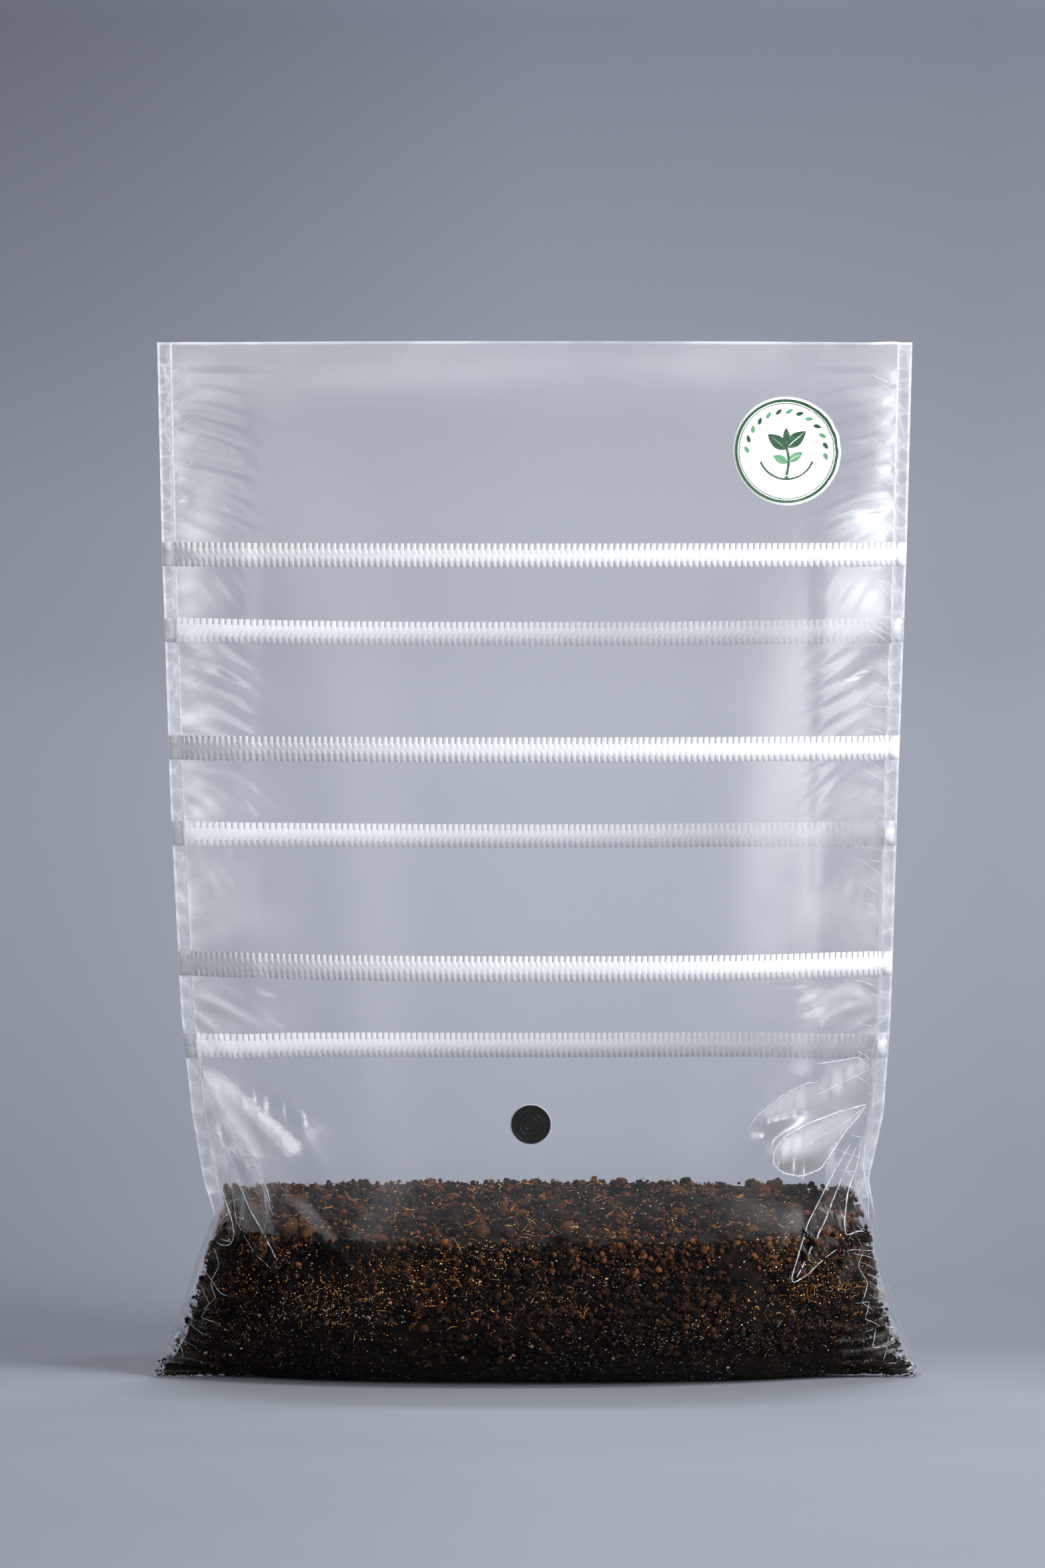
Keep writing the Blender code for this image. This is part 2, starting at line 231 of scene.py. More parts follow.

# Soft painted highlights on the front panel: x, z, reach in x and z, strength
SHEEN_PATCHES = (
    (-0.18, 0.449, 0.014, 0.015, 0.268),
    (-0.18, 0.409, 0.016, 0.012, 0.22),
    (-0.182, 0.359, 0.014, 0.021, 0.195),
    (-0.168, 0.305, 0.021, 0.014, 0.146),
    (-0.175, 0.25, 0.014, 0.021, 0.171),
    (-0.168, 0.194, 0.021, 0.012, 0.183),
    (-0.175, 0.15, 0.014, 0.021, 0.195),
    (0.183, 0.495, 0.009, 0.021, 0.195),
    (0.175, 0.445, 0.015, 0.013, 0.415),
    (0.171, 0.409, 0.016, 0.013, 0.488),
    (0.166, 0.359, 0.017, 0.021, 0.366),
    (0.163, 0.305, 0.021, 0.014, 0.317),
    (0.158, 0.25, 0.021, 0.021, 0.317),
    (0.158, 0.194, 0.023, 0.012, 0.366),
    (0.164, 0.15, 0.017, 0.017, 0.244),
    (-0.071, 0.523, 0.066, 0.009, 0.122),
    (0.071, 0.527, 0.059, 0.007, 0.085),
    (-0.161, 0.136, 0.016, 0.022, 0.244),
    (-0.15, 0.112, 0.012, 0.016, 0.146),
    (0.137, 0.29, 0.014, 0.075, 0.20),
    (0.128, 0.20, 0.018, 0.05, 0.16),
    (0.168, 0.24, 0.014, 0.03, 0.36),
    (0.166, 0.335, 0.012, 0.05, 0.14),
    (-0.135, 0.27, 0.02, 0.09, 0.05),
    (-0.172, 0.47, 0.02, 0.04, 0.12),
    (-0.150, 0.195, 0.028, 0.014, 0.22),
    (-0.164, 0.250, 0.022, 0.026, 0.20),
    (-0.168, 0.350, 0.020, 0.020, 0.14),
)

# Painted highlights along sharp creases: radius and points, as x and z on the front panel
CREASE_HIGHLIGHTS = unpacked((HUNDREDTHS,), (
    (40, -1743, 1612, -1688, 1485, -1581, 1320, -1471, 1158, -1399, 1030, -1371, 941),
    (22, -1747, 1599, -1650, 1406, -1547, 1240, -1437, 1072, -1354, 865),
    (32, -1754, 1619, -1654, 1612, -1543, 1519, -1416, 1413, -1292, 1320, -1209, 1247, -1220, 1202,
        -1271, 1175, -1344, 1185),
    (36, -1688, 1320, -1616, 1213, -1561, 1068, -1488, 903, -1316, 614),
    (36, -1688, 1320, -1681, 1213, -1671, 1085, -1626, 941, -1581, 813, -1571, 741, -1599, 696, -1654,
        703, -1716, 758),
    (20, -1581, 958, -1564, 831, -1471, 686, -1364, 596, -1316, 614),
    (32, -1723, 806, -1664, 738, -1585, 717),
    (24, -1740, 751, -1678, 676, -1650, 593, -1698, 503, -1664, 428, -1740, 359),
    (20, -1767, 676, -1729, 555, -1636, 452, -1585, 441),
    (22, -1798, 521, -1740, 469, -1702, 393, -1754, 314, -1636, 297),
    (22, -1843, 400, -1795, 359, -1805, 283, -1740, 228, -1698, 235),
    (22, -1871, 314, -1836, 249, -1850, 193, -1774, 159),
    (24, -1953, 118, -1895, 180, -1850, 159, -1843, 104, -1871, 56),
    (24, -1964, 49, -1946, 97, -1884, 104, -1843, 83),
    (24, 1435, 1654, 1573, 1667, 1670, 1681, 1738, 1619),
    (24, 1449, 1495, 1573, 1543, 1738, 1612),
    (18, 1459, 1564, 1387, 1557, 1270, 1502, 1125, 1392, 1084, 1330),
    (40, 1721, 1430, 1577, 1402, 1397, 1347, 1270, 1285, 1212, 1213, 1215, 1140, 1270, 1096, 1360,
        1075, 1470, 1103, 1542, 1196, 1614, 1302, 1714, 1419),
    (24, 1714, 1419, 1573, 1323, 1463, 1275, 1342, 1199),
    (32, 1632, 1230, 1521, 1048, 1397, 831, 1305, 559, 1315, 538, 1397, 579, 1487, 651, 1559, 696),
    (50, 1666, 1213, 1577, 1030, 1470, 796, 1332, 565),
    (40, 1694, 1247, 1676, 1120, 1621, 975, 1597, 831, 1604, 758, 1687, 775, 1721, 758),
    (22, 1718, 1254, 1711, 1089, 1738, 917, 1732, 793),
    (22, 1573, 658, 1635, 682, 1690, 676),
    (22, 1704, 676, 1670, 589, 1725, 503, 1690, 400, 1766, 348),
    (22, 1652, 400, 1738, 407, 1704, 314, 1790, 280),
    (24, 1697, 245, 1773, 269, 1745, 159, 1835, 166, 1807, 90),
    (22, 1842, 221, 1821, 159, 1890, 104, 1859, 49),
))

# The share of the light that the film scatters
HAZE = {FRONT: 0.040, BACK: 0.120}

# The welds are shorter than the film beside them by these shares, fading with the distance
SHRINK_HEIGHTS = (0.0, 0.070, 0.090, 0.160, 0.190, 0.541)
WELD_SHRINK = (0.12, 0.09, 0.03, 0.015, 0.020, 0.020)
SHRINK_REACH = 0.018
FILM_BEND = 0.03
SETTLE_STEPS = 160
SETTLE_SWEEPS = 3
SETTLE_DAMPING = 0.92
SETTLE_PRESSURE = 0.00002
SETTLE_STRIDE = 0.0008
START_FINE = 0.0006
START_BROAD = 0.0012

# Spare film of the flat bag: all of it up to the waist, none above this height
SPARE_TOP = 0.214
SPARE_FADE = 0.064
SPARE_LOOSE = 0.003

# How firmly the smooth bag holds the film: in the middle, everywhere, at the waist, at the mouth
MIDDLE_PULL = 0.25
LEAST_PULL = 0.0035
WAIST_PULL = 0.006
WAIST_HEIGHT = 0.11
MOUTH_PULL = 0.1
UPRIGHT_HEIGHT = 0.03


def linear(code):
    """An sRGB hex colour as linear RGBA."""
    values = [int(code[k : k + 2], 16) / 255 for k in (1, 3, 5)]
    return (*(v / 12.92 if v <= 0.04045 else ((v + 0.055) / 1.055) ** 2.4 for v in values), 1.0)


def add_node(tree, kind, inputs=None, stops=None, **settings):
    """Add a node. An input is a value, a hex colour, an output, or a node, for its first output.

    Stops are a ramp's places with hex colours, or with numbers for grays.
    """
    node = tree.nodes.new("ShaderNode" + kind)
    for name, value in settings.items():
        setattr(node, name, value)
    for key, value in (inputs or {}).items():
        usable = [socket for socket in node.inputs if socket.enabled and socket.name == key]
        socket = usable[0] if usable else node.inputs[key]
        if isinstance(value, bpy.types.Node):
            value = next(output for output in value.outputs if output.enabled)
        if isinstance(value, bpy.types.NodeSocket):
            tree.links.new(value, socket)
        else:
            socket.default_value = linear(value) if isinstance(value, str) else value
    if stops:
        points = node.color_ramp.elements
        while len(points) < len(stops):
            points.new(1.0)
        for point, (place, color) in zip(points, stops):
            point.position = place
            point.color = linear(color) if isinstance(color, str) else (color, color, color, 1.0)
    return node


def new_material(name):
    """An empty material, the function that adds a node to it, and its places in metres."""
    material = bpy.data.materials.new(name)
    material.use_nodes = True
    material.node_tree.nodes.clear()
    add = partial(add_node, material.node_tree)
    return material, add, add("TexCoord").outputs["Object"]


def weld_edge(side, height):
    """Distance of the weld's outer edge from the middle, for arrays of sides and heights."""
    heights, lefts, rights = zip(*WELD_INSETS)
    inset = np.where(side < 0, np.interp(height, heights, lefts), np.interp(height, heights, rights))
    return BAG_WIDTH / 2 - inset


def sag(height):
    """How far the middle of a row hangs below its ends."""
    heights = [0.0] + [BAG_HEIGHT - strip[0] for strip in reversed(STRIPS)] + [BAG_HEIGHT]
    sags = [0.0] + [strip[1] for strip in reversed(STRIPS)] + [0.0]
    return np.interp(height, heights, sags)


def strip_edges():
    """The heights of the mouth and of both edges of every strip, from the top down."""
    edges = [BAG_HEIGHT]
    for drop, _, _ in STRIPS:
        edges += [BAG_HEIGHT - drop + STRIP_WIDTH / 2, BAG_HEIGHT - drop - STRIP_WIDTH / 2]
    return edges


def panel_rows():
    """One line per row from the mouth to the bottom fold: weld z, middle z, depth, fullness, flat."""
    edges = [*strip_edges(), CORNER_RADIUS]
    heights = []
    for upper, lower in zip(edges, edges[1:]):
        steps = math.ceil((upper - lower) / ROW_STEP)
        heights += [upper + (lower - upper) * k / steps for k in range(steps)]
    heights = np.array(heights)
    rise = np.clip((heights - BELLY_HEIGHT) / (BAG_HEIGHT - BELLY_HEIGHT), 0.0, 1.0)
    bulge = (BELLY_DEPTH - MOUTH_GAP) / 2 * (1 - rise**TAPER)
    fullness = BELLY_FULLNESS + (MOUTH_FULLNESS - BELLY_FULLNESS) * rise
    wall = [heights, heights - sag(heights), MOUTH_GAP / 2 + bulge, fullness, 0 * heights]

    arc = CORNER_RADIUS * math.pi / 2
    turn = np.linspace(0.0, 1.0, math.ceil(arc / ROW_STEP) + 1)
    corner = [
        CORNER_RADIUS * (1 - turn * arc / (arc + CONTACT_DEPTH / 2)),
        CORNER_RADIUS * (1 - np.sin(turn * math.pi / 2)),
        CONTACT_DEPTH / 2 + CORNER_RADIUS * np.cos(turn * math.pi / 2),
        BELLY_FULLNESS + (BASE_FULLNESS - BELLY_FULLNESS) * turn,
        0 * turn + FLAT_UNDERSIDE,
    ]
    inward = np.linspace(0.0, 1.0, FOLD_ROWS + 1)[1:]
    under = [
        corner[0][-1] * (1 - inward),
        0 * inward,
        CONTACT_DEPTH / 2 * (1 - inward),
        0 * inward + BASE_FULLNESS,
        0 * inward + FLAT_UNDERSIDE,
    ]
    return np.concatenate([np.array(part).T for part in (wall, corner, under)])


def panel_columns():
    """Places across a panel, from -1 at the left weld to 1 at the right, finer near the welds."""
    half = BAG_WIDTH / 2 - WELD_WIDTH
    inward = [0.0]
    while inward[-1] < half:
        coarse = FINE_STEP + 0.15 * max(0.0, inward[-1] - FINE_REACH)
        inward.append(inward[-1] + min(COARSE_STEP, coarse))
    right = 1 - np.array(inward) / inward[-1]
    return np.concatenate([-right[:-1], right[::-1]])


def line_distance(x, z, points):
    """The distance of places in x and z from a bent line."""
    nearest = np.inf
    for (x0, z0), (x1, z1) in zip(points, points[1:]):
        along = ((x - x0) * (x1 - x0) + (z - z0) * (z1 - z0)) / ((x1 - x0) ** 2 + (z1 - z0) ** 2)
        along = np.clip(along, 0.0, 1.0)
        nearest = np.minimum(nearest, np.hypot(x - x0 - along * (x1 - x0), z - z0 - along * (z1 - z0)))
    return nearest


def fold_height(x, z, height, half_width, points):
    """How far one fold lifts the points of a panel, sharpest along its line."""
    return height * np.exp(-((line_distance(x, z, points) / half_width) ** 1.4))


def gather_shares(heights):
    """The gathers' strength at each height, from the part's rows."""
    edges = [*strip_edges(), BACK_FILL, FRONT_FILL, CORNER_RADIUS]
    places, shares = [], []
    for upper, lower in zip(edges, edges[1:]):
        steps = math.ceil((upper - lower) / PART_ROW_SPACING)
        for step in range(steps):
            places.append(upper + (lower - upper) * step / steps)
            shares.append(GATHERS[(step - 1) % len(GATHERS)] if step else 0.0)
    places.append(CORNER_RADIUS)
    shares.append(0.0)
    return np.interp(-heights, -np.array(places), shares)


def flange_width(height):
    """How wide the flange shows: whole above the waist, turned back along the filled ears."""
    return WELD_WIDTH - FLANGE_TURN * np.clip((EAR_HEIGHT - height) / EAR_FADE, 0.0, 1.0)


def weld_lobes(panel, heights, inward, side):
    """Soft lobes of film that lean up and inward from a weld: 0 between them, up to 1 on them."""
    chance = np.random.default_rng(SEED + 30 + 10 * panel + 3 * side)
    total = 0 * (heights + inward)
    place = 0.170
    while place < 0.530:
        reach, half_height = chance.uniform(0.009, 0.022), chance.uniform(0.0026, 0.0046)
        slant, strength = chance.uniform(0.15, 0.60), chance.uniform(0.35, 1.0)
        lean = (heights - place - slant * inward) / (half_height * (1 + 40 * inward))
        total = total + strength * np.exp(-(lean**2) - (inward / reach) ** 3)
        place += chance.uniform(0.009, 0.016)
    return total


def panel_grid(panel, rows, columns):
    """The points of one panel, weld to weld, as rows by columns by xyz."""
    weld_z, middle_z, depth, fullness, flat = (rows[:, k : k + 1] for k in range(5))
    s = columns[None, :]
    edge = weld_edge(s, weld_z)
    x = s * (edge - flange_width(weld_z))
    lifted = (np.maximum(0.0, np.abs(s) - flat) / (1 - flat)) ** LIFT
    z = middle_z + (weld_z - middle_z) * lifted
    out = depth * (1 - np.abs(s) ** fullness)
    inward = (1 - np.abs(s)) * edge
    phase = 2 * math.pi * weld_z / 0.030 + 2 * panel + np.sign(s)
    fading = np.maximum(0.0, 1 - inward / GATHER_REACH) ** 3
    push = GATHER_DEPTH * gather_shares(weld_z) * (0.7 + 0.3 * np.sin(phase)) * fading
    for side in (-1, 1):
        push = push - LOBE_HEIGHT * weld_lobes(panel, weld_z, inward, side) * (side * s > 0)
    for fold in FRONT_FOLDS if panel == FRONT else BACK_FOLDS:
        push = push - fold_height(x, z, *fold)
    push = push * np.minimum(1.0, out / 0.012) * np.minimum(1.0, z / 0.020)
    out = out - np.minimum(push, 0.55 * out)
    return np.stack([x, panel * out, z], 2)


def film_sheet():
    """The whole sheet: down the front, round the fold and up the back, flanges at both ends."""
    rows, columns = panel_rows(), panel_columns()
    front = panel_grid(FRONT, rows, columns)
    back = panel_grid(BACK, rows, columns)
    sheet = np.concatenate([front, back[-2::-1]])
    heights = np.concatenate([rows[:, 0], rows[-2::-1, 0]])
    panel = np.concatenate([np.full(len(rows), -1.0), np.full(len(rows) - 1, 1.0)])
    flanges = []
    for side in (-1, 1):
        edge = weld_edge(side, heights)
        shown = flange_width(heights)
        behind = np.sqrt(WELD_WIDTH**2 - shown**2)
        points = []
        for k in range(1, FLANGE_COLUMNS + 1):
            share = k / FLANGE_COLUMNS
            x = side * (edge - shown * (1 - share))
            swing = FLANGE_WAVE * math.sin(math.pi * share * 0.8)
            wave = swing * np.sin(2 * math.pi * heights / FLANGE_WAVE_LENGTH + 2 * side)
            points.append(np.stack([x, panel * 0.00006 + wave + behind * share, heights], 1))
        flanges.append(np.stack(points[::-1] if side < 0 else points, 1))
    sheet[:, 0, 1] = panel * 0.00006
    sheet[:, -1, 1] = panel * 0.00006
    sheet = np.concatenate([flanges[0], sheet, flanges[1]], 1)
    sheet[:, :, 2] = np.maximum(sheet[:, :, 2], 0.0001)
    return sheet, rows, columns


def outward(sheet):
    """Unit normals of a grid of points, pointing out of the bag."""
    along = np.gradient(sheet, axis=1)
    down = np.gradient(sheet, axis=0)
    normal = np.cross(down, along)
    normal /= np.maximum(np.linalg.norm(normal, axis=2, keepdims=True), 1e-12)
    return normal


def smooth_random(shape, cells, random_values):
    """Random values on a grid, smooth over this many cells each way."""
    values = random_values.standard_normal(shape)
    for axis, width in enumerate(cells):
        reach = np.arange(-3 * width, 3 * width + 1) / width
        bell = np.exp(-0.5 * reach**2)
        bell /= math.sqrt((bell * bell).sum())
        values = np.apply_along_axis(np.convolve, axis, values, bell, "same")
    return values


def settle(goal):
    """Let the sheet find its puckers: it is cut flat, and the welds hold it shorter than it is.

    Each step pulls every short piece of film towards the length it was cut to, and the middle
    of the panels towards the smooth bag. The spare film near the welds then folds by itself.
    """
    chance = np.random.default_rng(SEED)
    count, width, _ = goal.shape
    inner = slice(FLANGE_COLUMNS, -FLANGE_COLUMNS)
    loose = slice(FLANGE_COLUMNS + 1, -FLANGE_COLUMNS - 1)
    side = panel_signs()[:, None]
    height = sheet_heights()[:, None]
    inward = (1 - np.abs(sheet_columns()))[None, :] * (BAG_WIDTH / 2 - WELD_WIDTH)

    # The lengths the film was cut to, across and down
    across = np.linalg.norm(np.diff(goal, axis=1), axis=2)
    arc = across[:, inner].sum(1, keepdims=True)
    spare = np.maximum(BAG_WIDTH - 2 * WELD_WIDTH - 0.002 - arc, 0.0)
    spare *= np.clip((SPARE_TOP - height) / SPARE_FADE, 0.0, 1.0)
    columns = panel_columns()
    outer = np.clip((np.abs(columns[1:] + columns[:-1]) / 2 - 0.5) / 0.2, 0.0, 1.0) * np.diff(columns)
    across[:, inner] += (SPARE_LOOSE * arc + spare) * outer[None, :] / outer.sum()
    middle = goal[:, width // 2]
    shrink = np.interp(height, SHRINK_HEIGHTS, WELD_SHRINK)
    gathered = shrink * np.exp(-((inward / SHRINK_REACH) ** 1.2))
    gathered[:, :FLANGE_COLUMNS] = 0.0
    gathered[:, -FLANGE_COLUMNS:] = 0.0
    down = np.linalg.norm(np.diff(middle, axis=0), axis=1)[:, None] * (1 + gathered[1:])

    # What holds the sheet: welds and mouth fully, the middle softly, the floor part more
    free = np.ones((count, width, 1))
    free[:, : FLANGE_COLUMNS + 1] = 0.0
    free[:, -FLANGE_COLUMNS - 1 :] = 0.0
    free[[0, -1]] = 0.0
    upright = np.clip((height - UPRIGHT_HEIGHT) / UPRIGHT_HEIGHT, 0.0, 1.0)
    pull = upright * MIDDLE_PULL * np.clip((inward - 0.040) / 0.050, 0.0, 1.0) ** 1.5
    pull = pull + (1 - upright) * MIDDLE_PULL * np.clip((inward - 0.03) / 0.03, 0.0, 1.0) + LEAST_PULL
    pull = pull + WAIST_PULL * np.exp(-(((height - WAIST_HEIGHT) / 0.035) ** 4))
    pull = np.maximum(pull, MOUTH_PULL * np.clip((height - 0.525) / 0.016, 0.0, 1.0))[:, :, None]

    start = START_FINE * smooth_random((count, width), (2, 4), chance)
    start += START_BROAD * smooth_random((count, width), (5, 9), chance)
    points = goal.copy()
    points[:, loose, 1] += (start * np.exp(-(((inward - 0.008) / 0.028) ** 2)))[:, loose]

    def hold(first, second, length, stiff):
        a, b = points[first], points[second]
        apart = b - a
        now = np.sqrt((apart * apart).sum(2, keepdims=True))
        both = np.maximum(free[first] + free[second], 1e-9)
        share = stiff * (now - length[:, :, None]) / (now * both) * apart
        points[first] = a + free[first] * share
        points[second] = b - free[second] * share

    def every(start, gap, step, n):
        return slice(start, start + step * n, step), slice(start + gap, start + gap + step * n, step)

    slant = np.sqrt((across[:-1] + across[1:]) ** 2 + (down[:, :-1] + down[:, 1:]) ** 2) / 2
    two_across = across[:, :-1] + across[:, 1:]
    two_down = down[:-1] + down[1:]
    everything = slice(None)
    speed = np.zeros_like(points)
    for _ in range(SETTLE_STEPS):
        before = points.copy()
        points += SETTLE_DAMPING * speed + SETTLE_PRESSURE * outward(points) * free
        for _ in range(SETTLE_SWEEPS):
            for o in (0, 1):
                part = across[:, o::2]
                a, b = every(o, 1, 2, part.shape[1])
                hold((everything, a), (everything, b), part, 1.0)
            for o in (0, 1):
                part = down[o::2]
                a, b = every(o, 1, 2, part.shape[0])
                hold((a,), (b,), part, 1.0)
                hold((a, slice(0, -1)), (b, slice(1, None)), slant[o::2], 0.25)
                hold((a, slice(1, None)), (b, slice(0, -1)), slant[o::2], 0.25)
            for o in (0, 1, 2):
                part = two_across[:, o::3]
                a, b = every(o, 2, 3, part.shape[1])
                hold((everything, a), (everything, b), part, FILM_BEND)
                part = two_down[o::3]
                a, b = every(o, 2, 3, part.shape[0])
                hold((a,), (b,), part, FILM_BEND)
            points += pull * free * (goal - points)
            points[:, loose, 1] = side * np.maximum(side * points[:, loose, 1], 0.0002)
            points[:, :, 2] = np.maximum(points[:, :, 2], 0.0001)
        speed = points - before
        far = np.linalg.norm(speed, axis=2, keepdims=True)
        speed *= np.minimum(1.0, SETTLE_STRIDE / np.maximum(far, 1e-9))
    return points


def ear_glints():
    """Painted highlights in small creased facets of film along the welds of the filled ears: strength and
    outline.
    """
    chance = np.random.default_rng(SEED + 9)
    facets = []
    for side in (-1, 1):
        height = 0.008
        while height < 0.088:
            tall, reach = chance.uniform(0.004, 0.009), chance.uniform(0.006, 0.020)
            weld = side * float(weld_edge(side, height) - flange_width(height) - 0.0006)
            tip = (weld - side * reach, height + tall * chance.uniform(-0.6, 1.4))
            facets.append((chance.uniform(0.16, 0.46), ((weld, height), (weld, height + tall), tip)))
            height += tall + chance.uniform(0.0, 0.004)
    return facets


def painted_highlights_and_haze():
    """How white each point of the sheet is painted: painted highlights on the lobes by the welds, the
    flaps below and the soft patches, over the film's even haze.
    """
    inward = (1 - np.abs(sheet_columns()))[None, :] * (BAG_WIDTH / 2 - WELD_WIDTH)
    height, panel = sheet_heights()[:, None], panel_signs()[:, None]
    across_sheet = sheet_columns()[None, :]
    total = np.zeros(sheet.shape[:2])
    for side in (-1, 1):
        for face in (FRONT, BACK):
            here = (side * across_sheet > 0) * (side * across_sheet < 1) * (panel == face)
            strength = LOBE_PAINTED_SHEEN[side > 0] * (1.0 if face == FRONT else 0.6)
            total += here * strength * np.minimum(1.0, weld_lobes(face, height, inward, side))
    x, z = sheet[:, :, 0], sheet[:, :, 2]
    painted_highlight = np.zeros(x.shape)
    for strength, outline in (*FLAP_HIGHLIGHTS, *ear_glints()):
        inside = np.zeros(x.shape, bool)
        ring = (*outline, outline[0])
        for (x0, z0), (x1, z1) in zip(ring, ring[1:]):
            crossing = (z0 > z) != (z1 > z)
            inside ^= crossing & (x < x0 + (z - z0) * (x1 - x0) / (z1 - z0 + 1e-12))
        edge = line_distance(x, z, ring)
        share = np.clip(edge / 0.0022 + 0.35, 0.0, 1.0) * inside * (panel < 0)
        painted_highlight = np.maximum(painted_highlight, strength * share)
    for x0, z0, reach_x, reach_z, strength in SHEEN_PATCHES:
        far = ((x - x0) / reach_x) ** 2 + ((z - z0) / reach_z) ** 2
        total = total + strength * np.exp(-far) * (panel < 0)
    chance = np.random.default_rng(SEED + 5)
    streaks = smooth_random(total.shape, (3, 7), chance)
    streaks = streaks + 0.6 * smooth_random(total.shape, (8, 3), chance)
    total *= np.clip(1 + 0.34 * streaks, 0.2, 1.9)
    total = np.maximum(total, painted_highlight * np.clip(1 + 0.10 * streaks, 0.7, 1.3))
    total += np.where(panel < 0, HAZE[FRONT], HAZE[BACK]) * (1 - 0.9 * touching())
    in_flange = np.abs(across_sheet) == 1
    return np.where(in_flange & (height < FLANGE_CLEAR_HEIGHT), -0.10, total)


def touching():
    """Where the film lies on the moist compost and goes clear: 1 there, 0 above the rim."""
    height = sheet_heights()[:, None]
    rim = np.where(panel_signs() < 0, FRONT_FILL, BACK_FILL)[:, None]
    wet = np.clip((rim + 0.020 - height) / 0.030, 0.0, 1.0)
    return wet * np.clip((1 - np.abs(sheet_columns())) / 0.12, 0.0, 1.0)[None, :]


def panel_signs():
    """The panel of each row of the sheet."""
    count = len(panel_rows())
    return np.concatenate([np.full(count, -1.0), np.full(count - 1, 1.0)])


def sheet_heights():
    """The height at the weld of each row of the sheet."""
    heights = panel_rows()[:, 0]
    return np.concatenate([heights, heights[-2::-1]])


def sheet_columns():
    """Places across the sheet, from -1 to 1 between the welds and the same over the flanges."""
    flange = np.ones(FLANGE_COLUMNS)
    return np.concatenate([-flange, panel_columns(), flange])


def grid_quads(index):
    """The four corners of each cell of a grid of indices."""
    return np.stack([index[:-1, :-1], index[1:, :-1], index[1:, 1:], index[:-1, 1:]], 2)


def add_grid(name, points, material, uv=None):
    """A sheet of quads from a grid of points."""
    count, across, _ = points.shape
    index = np.arange(count * across).reshape(count, across)
    return add_mesh(name, points.reshape(-1, 3), grid_quads(index).reshape(-1, 4), material, uv)


def add_mesh(name, points, faces, material, uv=None):
    """An object at the origin from points and faces; uv is a place for each point."""
    mesh = bpy.data.meshes.new(name)
    mesh.from_pydata([tuple(p) for p in points], [], [tuple(f) for f in faces])
    if uv is not None:
        layer = mesh.uv_layers.new(name="flat")
        corners = np.empty(len(mesh.loops), np.int32)
        mesh.loops.foreach_get("vertex_index", corners)
        layer.data.foreach_set("uv", np.asarray(uv, np.float32)[corners].ravel())
    mesh.materials.append(material)
    mesh.polygons.foreach_set("use_smooth", [True] * len(mesh.polygons))
    piece = bpy.data.objects.new(name, mesh)
    bpy.context.scene.collection.objects.link(piece)
    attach(piece, "root")
    return piece


